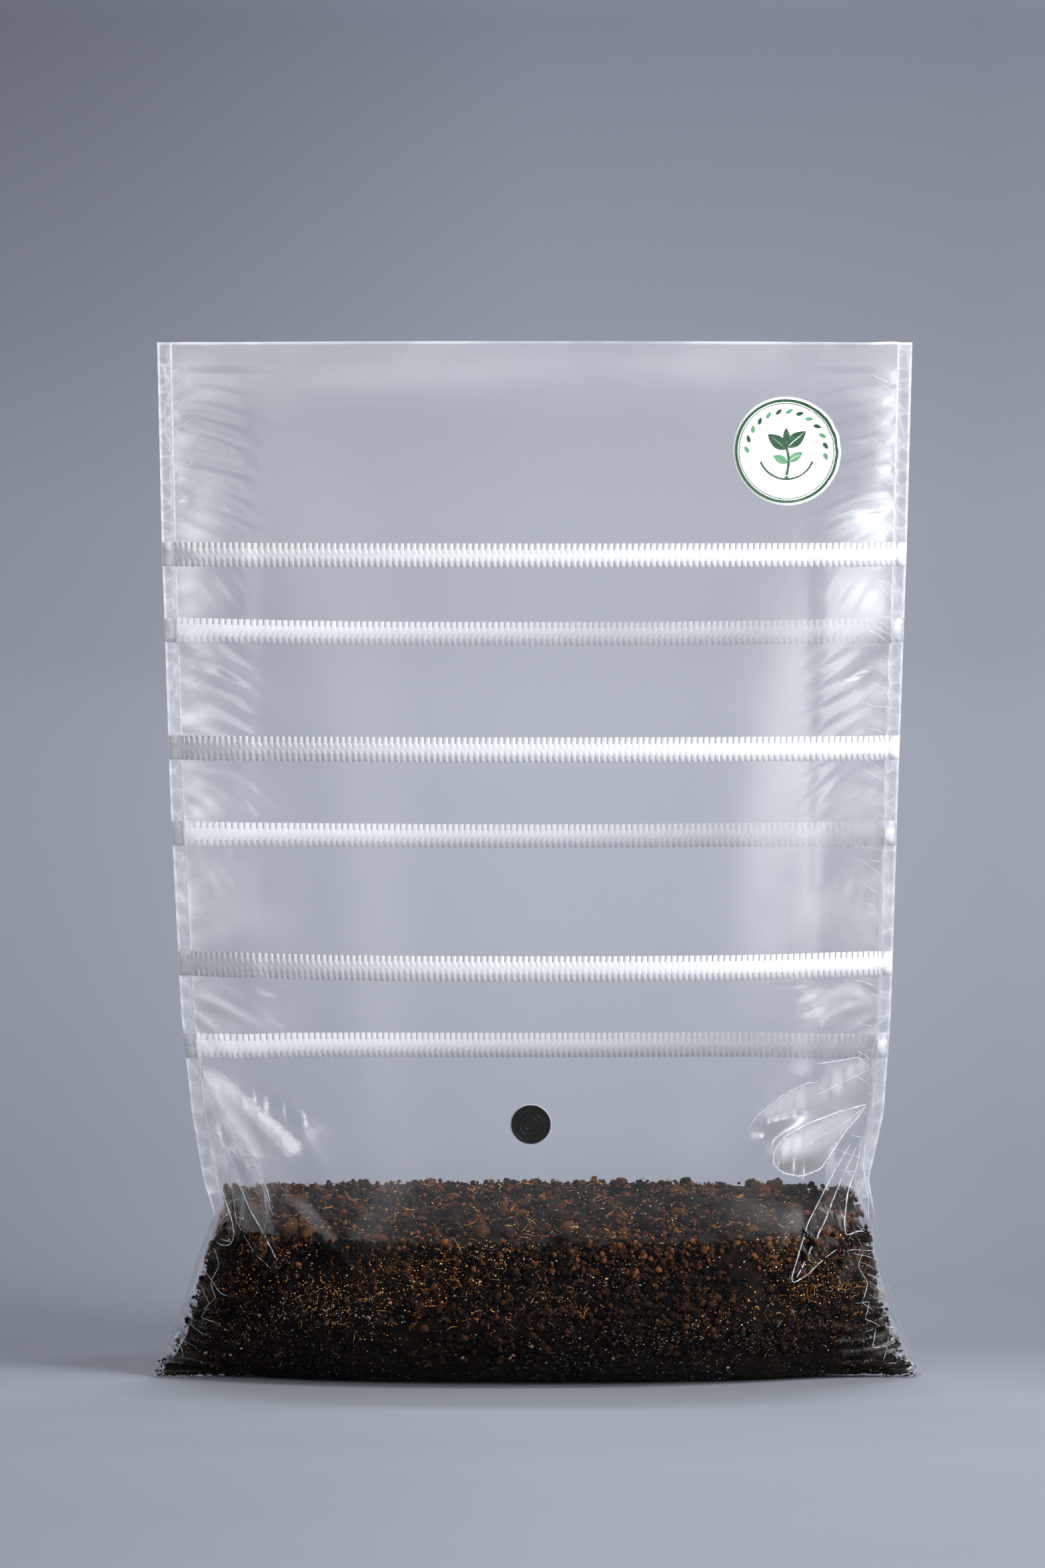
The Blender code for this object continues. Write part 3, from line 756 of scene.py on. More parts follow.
def clear_film():
    """Polypropylene film, cast: glossy and faintly milky. Welds scatter more light; painted highlights
    lie on the cut edges, on the rims of the flange cells and, through a point attribute, on the lobes,
    flaps and soft patches.
    """
    material, add, place = new_material("polypropylene_film")
    ripple = add("TexNoise", {"Vector": place, "Scale": 55.0, "Detail": 3.0, "Roughness": 0.5})
    bump = add("Bump", {"Height": ripple, "Strength": 0.25, "Distance": 0.0008})

    # How milky: two fine lines at each weld, the flange and the mouth; the bright cut edge is a painted
    # highlight
    flat = add("UVMap", uv_map="flat")
    parts = add("SeparateXYZ", {"Vector": flat})
    from_middle = add("Math", {0: parts.outputs["X"]}, operation="ABSOLUTE")
    sideways = add("Math", {0: from_middle, 1: 2 / BAG_WIDTH}, operation="MULTIPLY")
    weld = 1 - 2 * WELD_WIDTH / BAG_WIDTH
    line = WELD_LINE * 2 / BAG_WIDTH
    across_milk_and_edge_highlight = add("ValToRGB", {"Fac": sideways}, [
        (0.0, 0.0), (0.90, 0.0), (weld - 2.6 * line, 0.10), (weld - 1.6 * line, 0.70),
        (weld - 0.6 * line, 0.10), (weld + 0.6 * line, 0.10), (weld + 1.6 * line, 0.50),
        (weld + 2.6 * line, 0.06), (0.992, 0.06), (0.997, 0.50), (1.0, 0.60),
    ])
    from_mouth = add(
        "Math", {0: parts.outputs["Y"], 1: -1 / MILKY_MOUTH}, operation="MULTIPLY", use_clamp=True
    )
    milky_mouth = add("ValToRGB", {"Fac": from_mouth}, [
        (0.0, 0.75), (0.022, 0.70), (0.040, 0.14), (0.35, 0.13), (0.70, 0.06), (1.0, 0.0),
    ])
    clouds = add("TexNoise", {"Vector": flat, "Scale": 16.0, "Detail": 2.0, "Distortion": 0.8})
    patchy = add(
        "MapRange", {"Value": clouds, "From Min": 0.40, "From Max": 0.62, "To Min": 0.55, "To Max": 1.1}
    )
    uneven_mouth = add("Math", {0: milky_mouth, 1: patchy}, operation="MULTIPLY")
    lines_milk_and_edge_highlight = add("Math", {0: across_milk_and_edge_highlight, 1: uneven_mouth}, operation="MAXIMUM")
    # Painted glints on the rims of crushed cells about 14 by 12 mm in the flange, outside the weld
    cells_place = add("VectorMath", {0: flat, 1: (70.0, 80.0, 1.0)}, operation="MULTIPLY")
    cells = add(
        "TexVoronoi", {"Vector": cells_place, "Scale": 1.0},
        feature="DISTANCE_TO_EDGE", voronoi_dimensions="2D",
    )
    cell_rim_glints = add(
        "ValToRGB", {"Fac": cells}, [(0.0, 0.26), (0.03, 0.16), (0.10, 0.02), (0.35, 0.0), (0.55, 0.05)]
    )
    in_flange = add("Math", {0: sideways, 1: weld}, operation="GREATER_THAN")
    flange_cell_glints = add("Math", {0: cell_rim_glints, 1: in_flange}, operation="MULTIPLY")
    # Painted highlights over the film's even haze, from the sheet's points
    painted_highlight = add("Attribute", attribute_name="highlight_and_haze_paint").outputs["Fac"]
    more = add("Math", {0: painted_highlight, 1: flange_cell_glints}, operation="ADD")
    milk_and_painted_highlight = add("Math", {0: lines_milk_and_edge_highlight, 1: more}, operation="ADD", use_clamp=True)

    clear = add("BsdfTransparent", {"Color": "#FDFDFE"})
    haze = add("BsdfTranslucent", {"Color": "#F4F5F7", "Normal": bump})
    sheen = add("BsdfDiffuse", {"Color": "#EDF0F5", "Normal": bump})
    scatter = add("MixShader", {0: 0.05, 1: haze, 2: sheen})
    gloss = add("BsdfGlossy", {"Color": "#FFFFFF", "Roughness": 0.24, "Normal": bump})
    facing = add("LayerWeight", {"Blend": 0.5, "Normal": bump}).outputs["Facing"]
    steep = add("Math", {0: facing, 1: 4.0}, operation="POWER")
    # The share that the two faces reflect: little head on, nearly all at a glance
    dry_share = add("MapRange", {"Value": steep, "To Min": 0.020, "To Max": 0.95})
    wet = add("Attribute", attribute_name="wet").outputs["Fac"]
    dry = add("MapRange", {"Value": wet, "To Min": 1.0, "To Max": 0.10})
    share = add("Math", {0: dry_share, 1: dry}, operation="MULTIPLY")
    cloudy = add("MixShader", {0: milk_and_painted_highlight, 1: clear, 2: scatter})
    film = add("MixShader", {0: share, 1: cloudy, 2: gloss})
    add("OutputMaterial", {"Surface": film})
    return material


def filter_membrane():
    """Microporous polypropylene: white, soft, lets light through, with faint lines across it."""
    material, add, _ = new_material("microporous_membrane")
    # Fine lines about 0.55 mm apart run across the strip
    flat = add("UVMap", uv_map="flat")
    lines = add(
        "TexWave", {"Vector": flat, "Scale": 290.0, "Distortion": 0.6, "Detail": 1.0}, bands_direction="X"
    )
    color = add("ValToRGB", {"Fac": lines}, [(0.0, "#E4E6E9"), (0.6, "#EEEFF1"), (1.0, "#F3F4F6")])
    front = add("BsdfPrincipled", {"Base Color": color, "Roughness": 0.65, "Specular IOR Level": 0.3})
    through = add("BsdfTranslucent", {"Color": color})
    both = add("MixShader", {0: 0.38, 1: front, 2: through})
    add("OutputMaterial", {"Surface": both})
    return material


def mottled(name, scale, detail, tones, roughness, specular=0.5, bump=None, clear=None):
    """A material whose tone follows one fine noise, and its face too when it has a bump.

    The bump is a strength and a depth, and clear is a share and colour of light let through.
    """
    material, add, place = new_material(name)
    spots = add("TexNoise", {"Vector": place, "Scale": scale, "Detail": detail})
    surface = {"Base Color": add("ValToRGB", {"Fac": spots}, tones), "Roughness": roughness}
    surface["Specular IOR Level"] = specular
    if bump:
        surface["Normal"] = add("Bump", {"Height": spots, "Strength": bump[0], "Distance": bump[1]})
    shader = add("BsdfPrincipled", surface)
    if clear:
        through = add("BsdfTransparent", {"Color": clear[1]})
        shader = add("MixShader", {0: clear[0], 1: through, 2: shader})
    add("OutputMaterial", {"Surface": shader})
    return material


sheet, rows, columns = film_sheet()
sheet = settle(sheet)
middle_steps = np.linalg.norm(np.diff(sheet[:, sheet.shape[1] // 2], axis=0), axis=1)
down = np.concatenate([[0.0], np.cumsum(middle_steps)])
across = np.concatenate([
    -BAG_WIDTH / 2 + WELD_WIDTH * np.arange(FLANGE_COLUMNS) / FLANGE_COLUMNS,
    columns * (BAG_WIDTH / 2 - WELD_WIDTH),
    BAG_WIDTH / 2 - WELD_WIDTH * (1 - np.arange(1, FLANGE_COLUMNS + 1) / FLANGE_COLUMNS),
])
flat = np.stack(np.meshgrid(across, -down), 2).reshape(-1, 2)
film = add_grid("film", sheet, clear_film(), flat)
# The film's painted highlights over its even haze, one value a point
painted_white = film.data.attributes.new("highlight_and_haze_paint", "FLOAT", "POINT")
painted_white.data.foreach_set("value", painted_highlights_and_haze().astype(np.float32).ravel())
wet = film.data.attributes.new("wet", "FLOAT", "POINT")
wet.data.foreach_set("value", touching().astype(np.float32).ravel())
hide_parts("film_bag")


def between(grid, i, j, a, b):
    """The values of a grid at shares a down and b across from its points i, j."""
    top = grid[i, j] * (1 - b) + grid[i, j + 1] * b
    low = grid[i + 1, j] * (1 - b) + grid[i + 1, j + 1] * b
    return top * (1 - a) + low * a


def on_sheet(panel, x_share, height, lift):
    """Points over the film at a place across (-1 to 1 between the flange edges) and weld height."""
    line = np.interp(-np.asarray(height), -rows[:, 0], np.arange(len(rows)))
    if panel == BACK:
        line = len(sheet) - 1 - line
    column = np.interp(x_share, across, np.arange(len(across)))
    i = np.clip(np.floor(line).astype(int), 0, len(sheet) - 2)
    j = np.clip(np.floor(column).astype(int), 0, len(across) - 2)
    a, b = (line - i)[..., None], (column - j)[..., None]

    return between(sheet, i, j, a, b) + lift * between(normals, i, j, a, b)


normals = outward(sheet)

TOOTH = 0.0025
SLOT = 0.0008
SLOT_LENGTH = 0.0033
membrane = filter_membrane()


def make_strip(number, drop, panel):
    """A filter strip: teeth along both edges, a solid middle, a plain block at each end."""
    centre = BAG_HEIGHT - drop
    cuts = [-BAG_WIDTH / 2 + 0.0002]
    x = cuts[0] + 0.006
    solid = [True]
    while x < BAG_WIDTH / 2 - 0.006:
        cuts += [x, x + SLOT]
        solid += [False, True]
        x += TOOTH + SLOT
    cuts.append(BAG_WIDTH / 2 - 0.0002)
    levels = [centre + STRIP_WIDTH / 2, centre + STRIP_WIDTH / 2 - SLOT_LENGTH, centre,
              centre - STRIP_WIDTH / 2 + SLOT_LENGTH, centre - STRIP_WIDTH / 2]
    grid_x, grid_h = np.meshgrid(np.array(cuts), np.array(levels))
    points = on_sheet(panel, grid_x, grid_h, 0.00025)
    index = np.arange(grid_x.size).reshape(grid_x.shape)
    faces = []
    for j in range(len(cuts) - 1):
        for i in range(4):
            if solid[j] or i in (1, 2):
                quad = [index[i, j], index[i + 1, j], index[i + 1, j + 1], index[i, j + 1]]
                faces.append(quad if panel == FRONT else quad[::-1])
    flat = np.stack([grid_x, grid_h], 2).reshape(-1, 2)
    strip = add_mesh(f"strip_{number}", points.reshape(-1, 3), faces, membrane, flat)
    wall = strip.modifiers.new("thickness", "SOLIDIFY")
    wall.thickness = 0.00018
    wall.offset = 0.0
    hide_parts(f"filter_strip_{number}")


for number, (drop, _, panel) in enumerate(STRIPS, start=1):
    make_strip(number, drop, panel)

def compost_material(name, colors, roughness):
    """Peat compost: dull broken plant matter; each crumb has its own tone."""
    material, add, place = new_material(name)
    tone = add("Attribute", attribute_name="tone").outputs["Fac"]
    grain = add("TexNoise", {"Vector": place, "Scale": 900.0, "Detail": 2.0})
    mixed = add("Math", {0: grain, 1: 0.35, 2: tone}, operation="MULTIPLY_ADD")
    shifted = add("Math", {0: mixed, 1: 0.175}, operation="SUBTRACT")
    count = len(colors) - 1
    color = add("ValToRGB", {"Fac": shifted}, [(k / count, code) for k, code in enumerate(colors)])
    bump = add("Bump", {"Height": grain, "Strength": 0.5, "Distance": 0.0004})
    shader = add("BsdfPrincipled", {
        "Base Color": color, "Roughness": roughness, "Normal": bump,
        "Specular IOR Level": DULL_SPECULAR if roughness > 0.8 else MOIST_SPECULAR,
    })
    add("OutputMaterial", {"Surface": shader})
    return material


def fill_rows():
    """The sheet's rows from the compost's front rim, round the fold, to its back rim."""
    heights = sheet_heights()
    inside = np.where(panel_signs() < 0, heights <= FRONT_FILL, heights <= BACK_FILL)
    return np.flatnonzero(inside)


def lumps(x, y):
    """How far the top of the compost stands above an even slope."""
    broad_x, broad_y = 2 * math.pi * x / BROAD_LUMPS, 2 * math.pi * y / BROAD_LUMPS
    close_x, close_y = 2 * math.pi * x / CLOSE_LUMPS, 2 * math.pi * y / CLOSE_LUMPS
    broad = math.sin(broad_x + 1.0) * math.cos(broad_y - 0.4 * broad_x)
    share = 0.6 * broad + 0.6 * math.sin(close_x + broad_y + 2.0) * math.cos(close_y)
    coarse = 0.0022 * noise.noise((x * 90.0, y * 90.0, 3.0))
    fine = 0.0016 * noise.noise((x * 210.0, y * 210.0, 9.0))
    return LUMP_HEIGHT * share + (coarse + fine)


def make_compost_body():
    """The mass of the compost: a loft inside the film, remeshed and roughened."""
    picked = fill_rows()
    across_part = np.flatnonzero(np.abs(sheet_columns()) < 0.985)[::2]
    inset = np.where(sheet[:, :, 2:] < 0.010, 0.0004, 0.0014)
    wall = (sheet - inset * normals)[np.ix_(picked, across_part)]
    wall[:, :, 2] = np.maximum(wall[:, :, 2], 0.0006)
    front, back = wall[0], wall[-1]
    top = []
    for k in range(1, 30):
        share = k / 30
        line = back * (1 - share) + front * share
        inside = min(1.0, 5 * share, 5 * (1 - share))
        line[:, 2] += [lumps(x, y) * inside * (1 - abs(x / 0.165) ** 4) for x, y, _ in line]
        top.append(line)
    ring = np.concatenate([wall, top])
    count, width, _ = ring.shape
    index = np.arange(count * width).reshape(count, width)
    loop = np.concatenate([index, index[:1]])
    quads = grid_quads(loop).reshape(-1, 4)
    caps = [index[:, 0], index[::-1, -1]]
    material = compost_material(
        "peat_compost", ("#040302", "#0A0605", "#1A110C", "#33221A"), 0.95
    )
    faces = [*quads.tolist(), *[cap.tolist() for cap in caps]]
    body = add_mesh("compost_body", ring.reshape(-1, 3), faces, material)
    bpy.context.view_layer.objects.active = body
    remesh = body.modifiers.new("even", "REMESH")
    remesh.mode = "VOXEL"
    remesh.voxel_size = 0.0024
    remesh.use_smooth_shade = True
    bpy.ops.object.modifier_apply(modifier="even")
    tone = body.data.attributes.new("tone", "FLOAT", "POINT")
    shifts, tones = [], []
    for vertex in body.data.vertices:
        x, y, z = vertex.co
        grain = noise.noise((x * 420.0, y * 420.0, z * 420.0))
        broad = noise.noise((x * 130.0, y * 130.0, z * 130.0))
        shifts.append(vertex.co - vertex.normal * (0.0006 - 0.0007 * grain - 0.0006 * broad))
        tones.append(0.45 + 0.5 * grain + 0.3 * broad)
    for vertex, place in zip(body.data.vertices, shifts):
        vertex.co = place
        vertex.co.z = max(vertex.co.z, 0.0006)
    tone.data.foreach_set("value", tones)
    body.data.polygons.foreach_set("use_smooth", [True] * len(body.data.polygons))
    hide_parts("compost")
    return body


def spread_on_film(count, chance, low=0.0, high=1.0):
    """Random places on the film round the compost between two heights: point and outward normal."""
    picked = fill_rows()
    area = np.linalg.norm(
        np.cross(np.diff(sheet, axis=0)[:, :-1], np.diff(sheet, axis=1)[:-1]), axis=2
    )
    weight = np.zeros_like(area)
    inner = slice(FLANGE_COLUMNS + 1, -FLANGE_COLUMNS - 1)
    weight[picked[0] : picked[-1], inner] = area[picked[0] : picked[-1], inner]
    weight *= np.clip(0.65 + 0.75 * smooth_random(weight.shape, (4, 5), chance), 0.05, 3.0)
    height = sheet[:-1, :-1, 2]
    weight *= np.clip((height - low) / SOFT_LIMIT + 0.5, 0.0, 1.0) * np.clip(
        (high - height) / SOFT_LIMIT + 0.5, 0.0, 1.0
    )
    weight *= np.where(panel_signs()[:-1, None] < 0, 1.0, 0.45)
    cells = chance.choice(weight.size, count, p=weight.ravel() / weight.sum())
    i, j = np.unravel_index(cells, weight.shape)
    a, b = chance.random((2, count, 1))

    normal = between(normals, i, j, a, b)
    normal /= np.linalg.norm(normal, axis=1, keepdims=True)
    return between(sheet, i, j, a, b), normal


def spread_on_top(count, body, chance, level=0.25):
    """Random places on the top of the compost body, at least this level: point and normal."""
    mesh = body.data
    centers = np.array([p.center for p in mesh.polygons])
    facing = np.array([p.normal for p in mesh.polygons])
    upper = np.flatnonzero((facing[:, 2] > level) & (centers[:, 2] > 0.055 + 0.020 * level))
    picked = chance.choice(upper, count)
    shift = chance.uniform(-0.0012, 0.0012, (count, 3))
    return centers[picked] + shift, facing[picked]


def turned(normal, chance):
    """For each normal, two axes across it, turned by chance."""
    side = np.cross(normal, [0.0, 0.0, 1.0])
    side += 1e-6
    side /= np.linalg.norm(side, axis=1, keepdims=True)
    other = np.cross(normal, side)
    angle = chance.uniform(0, 2 * math.pi, (len(normal), 1))
    first = np.cos(angle) * side + np.sin(angle) * other
    return first, np.cross(normal, first)


def add_copies(name, shapes, faces, tones, material):
    """One piece from many small shapes that share a list of faces. shapes is n by points by xyz."""
    n, each, _ = shapes.shape
    step = each * np.arange(n)[:, None, None]
    all_faces = (np.asarray(faces)[None] + step).reshape(-1, len(faces[0]))
    piece = add_mesh(name, shapes.reshape(-1, 3), all_faces, material)
    tone = piece.data.attributes.new("tone", "FLOAT", "POINT")
    tone.data.foreach_set("value", np.repeat(tones, each).astype(np.float32))
    return piece


def ball(rounds):
    """The points and triangles of a small ball."""
    bpy.ops.mesh.primitive_ico_sphere_add(subdivisions=rounds, radius=1.0)
    thing = bpy.context.object
    points = np.array([v.co for v in thing.data.vertices])
    faces = [list(p.vertices) for p in thing.data.polygons]
    bpy.data.objects.remove(thing)
    return points, faces


def add_crumbs(name, places, normal, size, flat_share, sink, colors, roughness, chance, rounds=1):
    """Lumpy grains that lie along a surface."""
    count = len(places)
    template, faces = ball(rounds)
    first, second = turned(normal, chance)
    radius = size[:, None, None] / 2
    rough = chance.uniform(0.62, 1.2, (count, len(template), 1))
    stretch = chance.uniform(0.6, 1.0, (count, 1))
    local = template[None] * rough * radius
    x, y, z = local[..., 0:1], local[..., 1:2] * stretch[:, None], local[..., 2:3] * flat_share
    shapes = x * first[:, None] + y * second[:, None] + z * normal[:, None]
    shapes += (places - normal * (size[:, None] * sink + 0.00025))[:, None]
    shapes[..., 2] = np.maximum(shapes[..., 2], 0.0004)
    material = compost_material(name, colors, roughness)
    return add_copies(name, shapes, faces, chance.random(count), material)


def add_fibers(name, places, normal, colors, chance, longest=0.010, sink=0.0007):
    """Curled plant fibres: thin three-sided strands, bent along the surface."""
    rings = 5
    count = len(places)
    first, second = turned(normal, chance)
    length = chance.uniform(0.25, 1.0, count) ** 1.6 * longest
    thick = chance.uniform(0.00006, 0.00018, count)
    bend = chance.normal(0.0, 1.3, count)
    curl = chance.normal(0.0, 0.5, count)
    along = np.linspace(-0.5, 0.5, rings)[None, :]
    turn = bend[:, None] * along
    steps_x = np.cos(turn) * length[:, None] / (rings - 1)
    steps_y = np.sin(turn) * length[:, None] / (rings - 1)
    x, y = np.cumsum(steps_x, 1), np.cumsum(steps_y, 1)
    x -= x.mean(1, keepdims=True)
    y -= y.mean(1, keepdims=True)
    z = curl[:, None] * length[:, None] * 0.25 * (along**2 - 0.1)
    centre = places[:, None] + x[..., None] * first[:, None] + y[..., None] * second[:, None]
    centre += (z - sink - np.abs(z).max(1, keepdims=True))[..., None] * normal[:, None]
    across_axis = -np.sin(turn)[..., None] * first[:, None] + np.cos(turn)[..., None] * second[:, None]
    taper = np.array([0.45, 1.0, 1.1, 0.9, 0.35])[None, :, None]
    points = []
    for k in range(3):
        angle = 2 * math.pi * k / 3
        offset = math.cos(angle) * across_axis + math.sin(angle) * normal[:, None]
        points.append(centre + offset * thick[:, None, None] * taper)
    shapes = np.stack(points, 2).reshape(count, rings * 3, 3)
    shapes[..., 2] = np.maximum(shapes[..., 2], 0.0004)
    faces = []
    for r in range(rings - 1):
        for k in range(3):
            a, b = 3 * r + k, 3 * r + (k + 1) % 3
            faces.append([a, b, b + 3, a + 3])
    return add_copies(name, shapes, faces, chance.random(count), compost_material(name, colors, 0.6))


def make_compost():
    """The body and all that lies on it, against the film and on top."""
    chance = np.random.default_rng(SEED)
    body = make_compost_body()
    dark = ("#020101", "#070403", "#150D08", "#3E2718")
    # The gray, dull and cool tones of the lower grains are painted shade and painted haze of the film:
    # greyer and duller towards the bottom
    gray = ("#040404", "#0D0C0B", "#1F1C1A", "#443E3A")
    # Near-black grains at the base: painted shade under the bag's bottom curve
    base_shade = ("#020202", "#040404", "#080707", "#12100F")
    brown = ("#080503", "#180E08", "#382215", "#6E4429")
    clod = ("#050302", "#120B07", "#2A1A10", "#54341F")
    warm = ("#160A04", "#52290C", "#A8641F", "#F0B868")
    amber = ("#5A2E0E", "#A8601C", "#E09A3C", "#FFE0A8")
    dull = ("#1B1714", "#3A322C", "#665A50", "#A89C8E")
    pale = ("#B98A4E", "#E2C492", "#F6ECD8", "#FFFFFF")
    cool = ("#5F5850", "#8E877F", "#C4BFB8", "#F2F0EC")
    husk = ("#4A3226", "#7A5644", "#A07C66", "#C9A88F")
    # Grains against the film: count, smallest, spread and its power, how flat, how deep, tones,
    # roughness, lowest and highest
    for name, count, least, more, power, thin, sink, tones, rough, low, high in (
        ("crumbs_upper", 7800, 0.0008, 0.0056, 3, 0.6, 0.22, dark, 0.9, 0.026, 1.0),
        ("crumbs_base_shade", 2400, 0.0012, 0.0018, 1, 0.5, 0.45, base_shade, 0.95, -1.0, 0.0),
        ("crumbs_rim", 2600, 0.0009, 0.0044, 2, 0.6, 0.20, brown, 0.9, 0.066, 1.0),
        ("crumbs_lower", 4400, 0.0007, 0.0020, 3, 0.5, 0.26, gray, 0.9, 0.0, 0.036),
        ("flecks_upper", 3200, 0.00035, 0.0010, 3, 0.6, 0.30, amber, 0.5, 0.038, 1.0),
        ("flecks_lower", 1500, 0.00030, 0.0008, 3, 0.6, 0.30, dull, 0.6, 0.0, 0.044),
        ("specks_upper", 1900, 0.00028, 0.00050, 2, 0.7, 0.42, pale, 0.35, 0.026, 1.0),
        ("specks_lower", 900, 0.00026, 0.00040, 2, 0.7, 0.42, cool, 0.4, 0.0, 0.044),
        ("grains_side", 60, 0.0018, 0.0012, 1, 0.45, 0.24, husk, 0.7, 0.0, 1.0),
    ):
        places, normal = spread_on_film(count, chance, low, high)
        size = least + more * chance.random(count) ** power
        add_crumbs(name, places, normal, size, thin, sink, tones, rough, chance)
    for name, count, tones, longest, low, high in (
        ("fibers_upper", 1300, warm, 0.0070, 0.032, 1.0),
        ("fibers_lower", 1300, dull, 0.0042, 0.0, 0.044),
    ):
        places, normal = spread_on_film(count, chance, low, high)
        add_fibers(name, places, normal, tones, chance, longest)
    # Grains on top: count, least level, smallest, spread and its power, tones, how deep, rounds
    for name, count, level, least, more, power, tones, sink, rough, rounds in (
        ("clods_top", 620, 0.8, 0.0030, 0.0080, 1.5, clod, 0.0, 0.95, 2),
        ("crumbs_top", 3800, 0.25, 0.0009, 0.0030, 2, brown, -0.5, 0.9, 1),
    ):
        places, normal = spread_on_top(count, body, chance, level)
        size = least + more * chance.random(count) ** power
        add_crumbs(name, places, normal, size, 0.8, sink, tones, rough, chance, rounds)
    places, normal = spread_on_top(800, body, chance)
    add_fibers("fibers_top", places, normal, warm, chance, 0.0080, -0.0026)
    places, normal = spread_on_top(1100, body, chance)
    size = 0.0004 + 0.0007 * chance.random(1100)
    add_crumbs("flecks_top", places, normal, size, 0.7, -3.0, amber, 0.5, chance)


make_compost()


def place_on_front(piece, x, height, lift):
    """Lay a flat piece, drawn in x and z with its depth in y, on the front panel."""
    points = np.array([vertex.co for vertex in piece.data.vertices])
    at = height + points[:, 2]
    to_sheet = (BAG_WIDTH / 2 - WELD_WIDTH) / (weld_edge(np.full(len(at), x), at) - WELD_WIDTH)
    laid = on_sheet(FRONT, (x + points[:, 0]) * to_sheet, at, 0.0)
    front = np.array([0.0, -1.0, 0.0])
    laid += (lift - points[:, 1:2]) * front
    piece.data.vertices.foreach_set("co", laid.astype(np.float32).ravel())
    piece.data.update()


def finish_piece(name, material):
    """Name the active object, give it its material and let it ride on the bag."""
    piece = bpy.context.object
    piece.name = name
    piece.data.materials.clear()
    piece.data.materials.append(material)
    bpy.ops.object.transform_apply(location=True, rotation=True, scale=True)
    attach(piece, "root")
    return piece


def select_faces(piece, test):
    """In edit mode, select the faces whose centre and normal pass a test."""
    bpy.ops.object.mode_set(mode="OBJECT")
    for face in piece.data.polygons:
        face.select = test(face.center, face.normal)
    for vertex in piece.data.vertices:
        vertex.select = False
    bpy.ops.object.mode_set(mode="EDIT")


def make_port():
    """The rubber disc, moulded with a raised rim and two shallow rings, and its clear patch."""
    bpy.ops.mesh.primitive_cylinder_add(
        vertices=96, radius=PORT_RADIUS, depth=PORT_THICKNESS, end_fill_type="NGON",
        rotation=(math.pi / 2, 0.0, 0.0),
    )
    bpy.ops.object.transform_apply(location=True, rotation=True, scale=True)
    disc = bpy.context.object
    bpy.ops.object.mode_set(mode="EDIT")
    bpy.ops.mesh.select_mode(type="FACE")
    bpy.ops.mesh.select_all(action="DESELECT")
    select_faces(disc, lambda center, normal: normal.y < -0.9)
    for inset, depth in (
        (0.0002, -0.00015), (0.0010, 0.0), (0.0002, 0.00018), (0.0024, 0.0), (0.00025, -0.00022),
        (0.00025, 0.00022), (0.0022, 0.0), (0.00025, -0.00022), (0.00025, 0.00022), (0.0018, 0.0),
    ):
        bpy.ops.mesh.inset(thickness=inset, depth=-depth)
    bpy.ops.mesh.poke()
    bpy.ops.object.mode_set(mode="OBJECT")
    # Chloroprene rubber, moulded: near black, soft gloss, pits about 0.4 mm across
    rubber = mottled(
        "moulded_rubber", 2500.0, 3.0, [(0.3, "#060708"), (0.7, "#0D0F10")], 0.48, 0.3, (0.35, 0.0001)
    )
    port = finish_piece("port", rubber)
    bpy.ops.object.shade_smooth_by_angle(angle=math.radians(35))
    place_on_front(port, PORT_X, PORT_HEIGHT, PORT_LIFT + PORT_THICKNESS / 2)
    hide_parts("injection_port")

    bpy.ops.mesh.primitive_torus_add(
        major_radius=PORT_RADIUS + 0.00015, minor_radius=0.00042, major_segments=96, minor_segments=10,
        rotation=(math.pi / 2, 0.0, 0.0),
    )
    # Acrylic adhesive squeezed out round the port: clear to milky, soft and glossy
    adhesive = mottled(
        "acrylic_adhesive", 700.0, 2.0, [(0.3, "#B4B9C1"), (0.7, "#DDE0E5")], 0.25,
        clear=(0.55, "#F4F6F8"),
    )
    patch = finish_piece("port_patch", adhesive)
    bpy.ops.object.shade_smooth()
    place_on_front(patch, PORT_X, PORT_HEIGHT, 0.0005)
    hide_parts("port_adhesive")


def ring_grid(inner, outer, across, around=128, start=0.0, end=2 * math.pi):
    """Points of a flat ring or arc in x and z."""
    angle = np.linspace(start, end, around + 1)[None, :]
    radius = np.linspace(inner, outer, across + 1)[:, None]
    return np.stack([radius * np.sin(angle), 0 * angle * radius, radius * np.cos(angle)], 2)


def leaf_grid(x, z, angle, length, width, along=10):
    """Points of a flat pointed leaf in x and z, from its foot, split along its vein."""
    t = np.linspace(0.0, 1.0, along + 1)[:, None]
    half = width / 2 * np.sin(math.pi * t**0.85) ** 0.9
    side = np.array([-1.0, -0.5, -0.08, 0.08, 0.5, 1.0])[None, :]
    u, v = t * length + 0 * side, half * side
    c, s = math.cos(angle), math.sin(angle)
    return np.stack([x + u * s + v * c, 0 * u, z + u * c - v * s], 2)


def print_piece(name, grids, lift, material):
    """One printed colour of the label, from many small grids laid on it."""
    points, faces = [], []
    for grid, skip in grids:
        start = sum(len(part) for part in points)
        index = start + np.arange(grid.shape[0] * grid.shape[1]).reshape(grid.shape[:2])
        quads = grid_quads(index)
        keep = [j for j in range(quads.shape[1]) if j != skip]
        points.append(grid.reshape(-1, 3))
        faces.extend(quads[:, keep].reshape(-1, 4).tolist())
    piece = add_mesh(name, np.concatenate(points), faces, material)
    place_on_front(piece, LABEL_X, LABEL_HEIGHT, lift)
    mesh = piece.data
    if sum(face.normal.y for face in mesh.polygons) > 0:
        mesh.flip_normals()
    return piece


